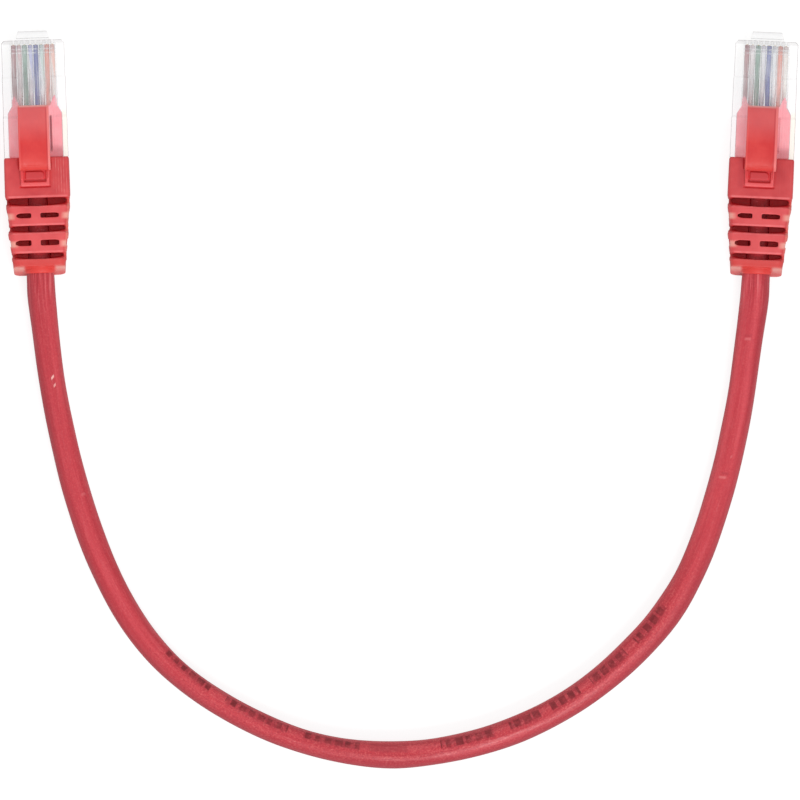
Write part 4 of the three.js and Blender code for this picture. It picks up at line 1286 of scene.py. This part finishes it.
def cut_tail(body):
    """Three wide cuts, then two pairs of short ones; pieces in one list never overlap."""
    deep, straps, sills, flanks, short, sides = [], [], [], [], [], []
    for i, (front, rear, half, bow, left_inset, right_inset) in enumerate(CUTS):
        deep += [blade(half, front, rear, 5.5 - 0.16 * i, 9, bow),
                 blade(half, front, rear, -1, 2.5, bow)]
        # the side straps lie a little lower than the blocks, and nearly flush at the flanks
        straps += [blade(half + 2.2, front, rear, 7.05 - 0.32 * i, 9.1, bow),
                   blade(half + 2.2, front, rear, -1.1, 0.8 + 0.12 * i, bow)]
        sills += [box((-9, -(half - 0.5)), (rear + 0.13, front - 0.13), (5.9 - 0.3 * i, 10), 0.12),
                  box((half - 0.4, 9), (rear + 0.15, front - 0.15), (6.5 - 0.3 * i, 10), 0.12)]
        flanks += [box((-9, -(half + left_inset)), (rear + 0.16, front - 0.16), (-1, 10), 0.15),
                   box((half + right_inset, 9), (rear + 0.2, front - 0.2), (-1, 10), 0.15)]
    for front, rear, half, shift, floor_z in SHORT_PAIRS:
        for inner, outer, point in ((-1.16, -3.86, -1), (0.56, 3.92, 1)):
            inner, outer = inner + shift, outer + shift
            shoulder = outer - point * 0.7
            chamfer = 0.12 if point > 0 else 0.26
            slot = [(inner, front), (shoulder, front), (outer, front - chamfer),
                    (outer, rear + chamfer - 0.04), (shoulder, rear), (inner, rear)]
            slot = rounded(slot, [0.22, 0.3, 0.14, 0.14, 0.3, 0.22], 4)
            short += [prism(slot, floor_z, 9, "xy"), prism(slot, -1, 2.5, "xy")]
        sides += [box(x, (rear - 0.05, front + 0.1), (1.2, 6.6), 0.2)
                  for x in ((half - 0.26, 9), (-9, -(half - 0.26)))]
    for pieces in (deep, straps, sills, flanks, short, sides):
        boolean(body, join(pieces))


def boot_mesh():
    boot = boot_body()
    add_raised_frame(boot)
    cut_tail(boot)
    # bore for the cord, flattened at its front: y, radius, stretch in x, stretch in z
    bore = ((-24, 2.53, 1, 1), (-2.5, 2.53, 1, 1), (-0.5, 2.62, 1.12, 0.9), (1, 2.62, 1.12, 0.9))
    boolean(boot, loft([at_y(ellipse((0, EXIT_Z), radius * wide, radius * tall, 48), y)
                        for y, radius, wide, tall in bore]))
    remesh(boot, BOOT_VOXEL, factor=0.45)
    # the rear half of the tail is moulded a little fuller on its -x flank
    for v in boot.data.vertices:
        if v.co.x < -2.6:
            fullness = float(smooth_step((-12.6 - v.co.y) / 1.5))
            v.co.x -= 0.17 * fullness * min(1.0, (-2.6 - v.co.x) / 1.6)
    return boot


def guard_mesh():
    outer = spline([(-2.42, 8.45), (-2.44, 9.6), (-2.42, 11.2), (-2.15, 12.35), (-1.2, 13.05),
                    (0.8, 13.38), (3.2, 13.46), (5.6, 13.28), (7.6, 12.92), (8.8, 12.6),
                    (9.35, 12.3)])
    tip = [(9.5, 12.0), (9.5, 11.62), (9.36, 11.34), (9.1, 11.24)]
    under = spline([(8.7, 11.42), (7.6, 11.84), (5.6, 12.18), (3.2, 12.32), (0.9, 12.2),
                    (-0.35, 11.72), (-0.95, 10.8), (-1.05, 9.6), (-1.05, 8.45)])
    guard = prism(outer + tip + under, -2.90, 2.86, "yz")
    # the strap narrows a little towards its tip
    for v in guard.data.vertices:
        v.co.x *= 1.0 - 0.015 * max(0.0, min(1.0, (v.co.y + 2.4) / 11.9))
    clean(guard)
    bevel(guard, 0.26, segments=4)
    remesh(guard, GUARD_VOXEL, smoothing=4)
    # the middle is sunk a little, so the long edges stand up as a rim
    for v in guard.data.vertices:
        if v.co.z > 11.9 and v.co.y > -1.5:
            v.co.z -= 0.10 * max(0.0, 1 - (abs(v.co.x) / 2.05) ** 4) - 0.02
    for v in guard.data.vertices:
        v.co.x += GUARD_X
    return guard


# ------------------------------------------------------------------ contacts and conductors
def contact_mesh(i):
    """A blade with three teeth up."""
    outline = [(16.6, 0.85), (20.2, 0.85), (20.75, 1.4), (20.75, 2.3), (20.45, 2.45), (20.1, 3.3),
               (19.75, 2.55), (19.0, 2.55), (18.65, 3.3), (18.3, 2.55), (17.5, 2.55),
               (17.15, 3.3), (16.8, 2.55), (16.6, 2.45)]
    radii = [0.12, 0.35, 0.35, 0.06, 0.1, 0.04, 0.1, 0.1, 0.04, 0.1, 0.1, 0.04, 0.1, 0.06]
    x = contact_x(i)
    return bevel(prism(rounded(outline, radii, 3), x - 0.15, x + 0.15, "yz"), 0.035, angle=40)


def twisted(wire, along):
    """Offset (across, up) of one conductor from the cord's axis."""
    pair = wire.replace("white_", "")
    sign = 1 if wire.startswith("white") else -1
    place = list(PAIR_LAY).index(pair)
    cable = math.pi / 4 + math.pi / 2 * place + 2 * math.pi * along / CABLE_LAY
    twist = 2 * math.pi * along / PAIR_LAY[pair] + place
    across = PAIR_RADIUS * np.cos(cable) + sign * TWIST_RADIUS * np.cos(twist)
    up = PAIR_RADIUS * np.sin(cable) + sign * TWIST_RADIUS * np.sin(twist)
    return across * widening(along) + uneven(along, 1), up


def plug_y(key, along):
    return BOOT_BEND_Y - along if key == "a" else BOOT_BEND_Y + (along - LENGTH)


def lead_offset(key, i, along):
    """Offset of a lead: twisted in the jacket, stacked in two layers in the plug, then side by
    side in the nose."""
    wobble = np.random.default_rng(11 + i + (50 if key == "b" else 0)).uniform(-1, 1, 4)
    y = plug_y(key, along)
    twist_across, twist_up = twisted(WIRES[i][1], along)
    # the cord's side axis is the plug's own +x at end a and its -x at end b
    flip = 1.0 if key == "a" else -1.0
    stack_x = (i // 2 - 1.5) * 0.90
    stack_up = -0.45 if i % 2 else 0.45
    nose_x = contact_x(i) + (0.06 * wobble[0] * np.sin((y - 12) * 0.55 + wobble[1] * 3)
                             * smooth_step((17.5 - y) / 2.5))
    nose_up = WIRE_Z - EXIT_Z + 0.03 * wobble[2]
    untwisted = smooth_step((y + 12.0) / 13.0)
    spread = smooth_step((y - 4.6) / 5.0)
    level = smooth_step((y - 8.0) / 5.0)
    x = ((twist_across * flip) * (1 - untwisted)
         + (stack_x * (1 - spread) + nose_x * spread) * untwisted)
    up = twist_up * (1 - untwisted) + (stack_up * (1 - level) + nose_up * level) * untwisted
    return x * flip, up


def conductor(along, radius, offset, name, wire):
    obj, own = sweep(along, radius, WIRE_AROUND, offset)
    # its own place is counted from its own axis
    own = own.reshape(len(along), WIRE_AROUND, 3)
    own[..., 0] -= offset[0][:, None]
    own[..., 1] -= offset[1][:, None]
    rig.slot(obj_done := finish(obj, name, MATERIALS["wire_" + wire], sharp=50, own=own),
            "wire_" + wire)
    return obj_done


def jacket_radius(along, angle):
    """Slightly lobed over the four pairs, with slow waves; even where the boots grip it."""
    lobes = np.cos(4 * (angle - 2 * math.pi * along / CABLE_LAY)) * 0.028
    slow = (0.018 * np.sin(along * 0.21 + 1.3 * np.sin(angle))
            + 0.012 * np.sin(along * 0.53 + 2 * angle))
    inward = np.minimum(along, LENGTH - along)
    return JACKET_RADIUS + (lobes + slow) * smooth_step((inward + 2.0) / 6.0)


def jacket(along):
    radius = jacket_radius(along[:, None], ring_angles(JACKET_AROUND)[None, :])
    return sweep(along, radius, JACKET_AROUND, (uneven(along, 1), 0 * along), bore=JACKET_BORE,
                 widen=widening(along)[:, None])


def flatten_end(obj, plug):
    """Flattens the jacket inside the plug."""
    inverse = plug.matrix.inverted()
    for v in obj.data.vertices:
        place = inverse @ v.co
        amount = smooth_step((place.y + 2.5) / 2.2)
        if amount > 0:
            place.x *= 1 + 0.12 * amount
            place.z = EXIT_Z + (place.z - EXIT_Z) * (1 - 0.14 * amount)
            v.co = plug.matrix @ place


# ------------------------------------------------------------------ how pieces move
def ride_plug(obj, plug):
    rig.ride(obj, "plug_" + plug.key)


def ride_latch(obj, plug):
    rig.ride(obj, "latch_" + plug.key)


def blend_guard(obj, plug):
    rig.blend(obj, "plug_" + plug.key, "guard_" + plug.key,
             start=tuple(plug.at(0, -1.7, 8.4)), end=tuple(plug.at(0, -1.7, 9.9)))


def blend_boot(obj, plug):
    """Bends a piece with the boot's tail and the first of the cord."""
    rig.blend(obj, "plug_" + plug.key, "cord_" + plug.side,
             start=tuple(plug.at(0, -8.2, EXIT_Z)),
             end=cord_point(14.0 if plug.key == "a" else LENGTH - 14.0))


def blend_arm(obj, side):
    """Bends a piece with one arm of the U."""
    reach = -21.0 if side == "left" else 21.0
    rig.blend(obj, "cord_" + side, "cord_centre",
             start=cord_point(ARM_BEND[side] + reach), end=cord_point(ARM_BEND[side] - reach))


# ------------------------------------------------------------------ the two plugs
def add_plug_part(plug, obj, part, suffix, material, sharp, attach, slot):
    finish(obj, f"plug_{plug.key}_{part}_{suffix}", MATERIALS[material], plug, sharp)
    attach(obj, plug)
    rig.replaces(obj, f"plug_{plug.key}_{part}")
    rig.slot(obj, slot)


# template, part, name suffix, material, sharp angle in degrees, how it moves, slot
TEMPLATES = [
    (housing_mesh(), "housing", "clear", "clear", 30, ride_plug, "clear_polycarbonate"),
    (latch_mesh(), "latch", "clear", "latch", 30, ride_latch, "clear_polycarbonate"),
    (mould_mesh(), "inner_mould", "pvc", "mould", None, ride_plug, "red_inner_pvc"),
    (boot_mesh(), "boot", "moulded", "boot", None, blend_boot, "red_boot_pvc"),
    (guard_mesh(), "snag_guard", "moulded", "guard", None, blend_guard, "red_boot_pvc"),
]


def add_upper_jacket(plug):
    """Jacket from inside the plug to the seam in the arm."""
    obj, own = jacket(end_stations(plug.key, JACKET_END_Y, JACKET_STEP))
    flatten_end(obj, plug)
    finish(obj, f"cord_{plug.side}_jacket_upper", MATERIALS["jacket"], sharp=50, own=own)
    blend_boot(obj, plug)
    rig.replaces(obj, f"plug_{plug.key}_jacket_end")
    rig.slot(obj, "red_jacket_pvc")


def add_leads(plug):
    """Conductors from the seam in the arm to the nose."""
    along = end_stations(plug.key, WIRE_END_Y, WIRE_STEP)
    thicker = 0.05 * smooth_step((plug_y(plug.key, along) - 2.0) / 6.0)
    for i, (pin, wire, _, _) in enumerate(WIRES):
        obj = conductor(along, WIRE_RADIUS + thicker[:, None], lead_offset(plug.key, i, along),
                        f"plug_{plug.key}_lead_{pin}_{wire}", wire)
        blend_boot(obj, plug)
        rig.replaces(obj, f"plug_{plug.key}_wire_{pin}_{wire}")


for plug in PLUGS.values():
    for template, *details in TEMPLATES:
        add_plug_part(plug, copy_of(template), *details)
    for i, (pin, *_) in enumerate(WIRES):
        add_plug_part(plug, contact_mesh(i), f"contact_{pin}", "blade", "gold", 30, ride_plug,
                      "gold_plate")
    add_upper_jacket(plug)
    add_leads(plug)
for template, *_ in TEMPLATES:
    bpy.data.objects.remove(template)


# ------------------------------------------------------------------ the cord's two lower halves
def add_lower_cord(side, start, end):
    """One half of the cord between the seams; the left one also stands for the centre pieces."""
    arms = [side, "centre"] if side == "left" else [side]
    obj, own = jacket(stations(start, end, JACKET_STEP))
    finish(obj, f"cord_{side}_jacket_lower", MATERIALS["jacket"], sharp=50, own=own)
    blend_arm(obj, side)
    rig.replaces(obj, *[f"cord_{arm}_jacket" for arm in arms])
    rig.slot(obj, "red_jacket_pvc")
    along = stations(start, end, WIRE_STEP)
    for pair in PAIR_LAY:
        for wire in (pair, "white_" + pair):
            obj = conductor(along, WIRE_RADIUS, twisted(wire, along),
                            f"cord_{side}_conductor_{wire}", wire)
            blend_arm(obj, side)
            if wire == pair:
                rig.replaces(obj, *[f"cord_{arm}_pair_{pair}" for arm in arms])


add_lower_cord("left", SEAM, LENGTH / 2)
add_lower_cord("right", LENGTH / 2, LENGTH - SEAM)


# ------------------------------------------------------------------ table, light and camera
def table_material():
    """Matt white that also glows, more strongly where the camera sees it."""
    shader = Shader("table_white")
    tone = shader.node("TexCoord", output="Object").noise(scale=3.0)
    shader.set(color=tone.ramp([(0.3, (0.30, 0.30, 0.30)), (0.7, (0.32, 0.32, 0.32))]),
               rough=0.95, spec=0.0)
    camera_ray = shader.node("LightPath", output="Is Camera Ray")
    glow = shader.node("Emission", {"Color": (1, 1, 1), "Strength": camera_ray * 0.46 + 0.34})
    shader.show(shader.node("AddShader", {0: shader.bsdf, 1: glow}))
    return shader.material


def add_table(half=4, height=-0.00008):
    corners = [(-half, -half, 0), (half, -half, 0), (half, half, 0), (-half, half, 0)]
    table = add_mesh(corners, [(0, 1, 2, 3)], "floor")
    table.location.z = height
    table.data.materials.append(table_material())
    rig.stage(table)


def add_world():
    """White surroundings, dimmer as a light than as the camera sees them."""
    world = bpy.data.worlds.new("studio")
    SCENE.world = world
    world.use_nodes = True
    tree = world.node_tree
    background = tree.nodes["Background"]
    camera_ray = add_node(tree, "LightPath", output="Is Camera Ray")
    put(tree, background.inputs[0], (1.0, 1.0, 1.0))
    put(tree, background.inputs[1], camera_ray.fade(0.0, 1.0, low=0.60))


def add_area_light(name, location, size, energy):
    """Area light aimed at the origin."""
    light = bpy.data.lights.new(name, "AREA")
    light.shape = "RECTANGLE"
    light.size, light.size_y = size
    light.energy = energy
    obj = link(light, name)
    obj.location = location
    obj.rotation_mode = "QUATERNION"
    obj.rotation_quaternion = (-Vector(location)).to_track_quat("-Z", "Y")
    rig.stage(obj)


def add_camera(height=5.5, half_view=0.0732, view_height=0.004):
    """Camera looking straight down; half_view is half the width seen at view_height."""
    data = bpy.data.cameras.new("camera")
    camera = link(data, "camera")
    camera.location = (0.00004, 0.0, height)
    data.sensor_width = 36
    data.angle = 2 * math.atan(half_view / (height - view_height))
    data.clip_start = 0.1
    data.clip_end = 30
    SCENE.camera = camera


add_table()
add_world()
add_area_light("key", location=(0.26, -0.72, 0.86), size=(0.45, 0.30), energy=6.0)
add_area_light("fill", location=(-0.25, 0.75, 0.75), size=(0.7, 0.4), energy=1.3)
add_camera()
SCENE.view_settings.view_transform = "Standard"
SCENE.view_settings.look = "None"
SCENE.view_settings.exposure = 0.0
SCENE.view_settings.gamma = 1.0
if hasattr(SCENE, "cycles"):  # only there when the Cycles add-on is enabled
    SCENE.cycles.transparent_max_bounces = 48  # the clear plug has many walls to see through

lo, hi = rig.bounds()
with open("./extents.json", "w") as f:
    json.dump({"cad": [list(CAD_LO), list(CAD_HI)], "visual": [list(lo), list(hi)]}, f)
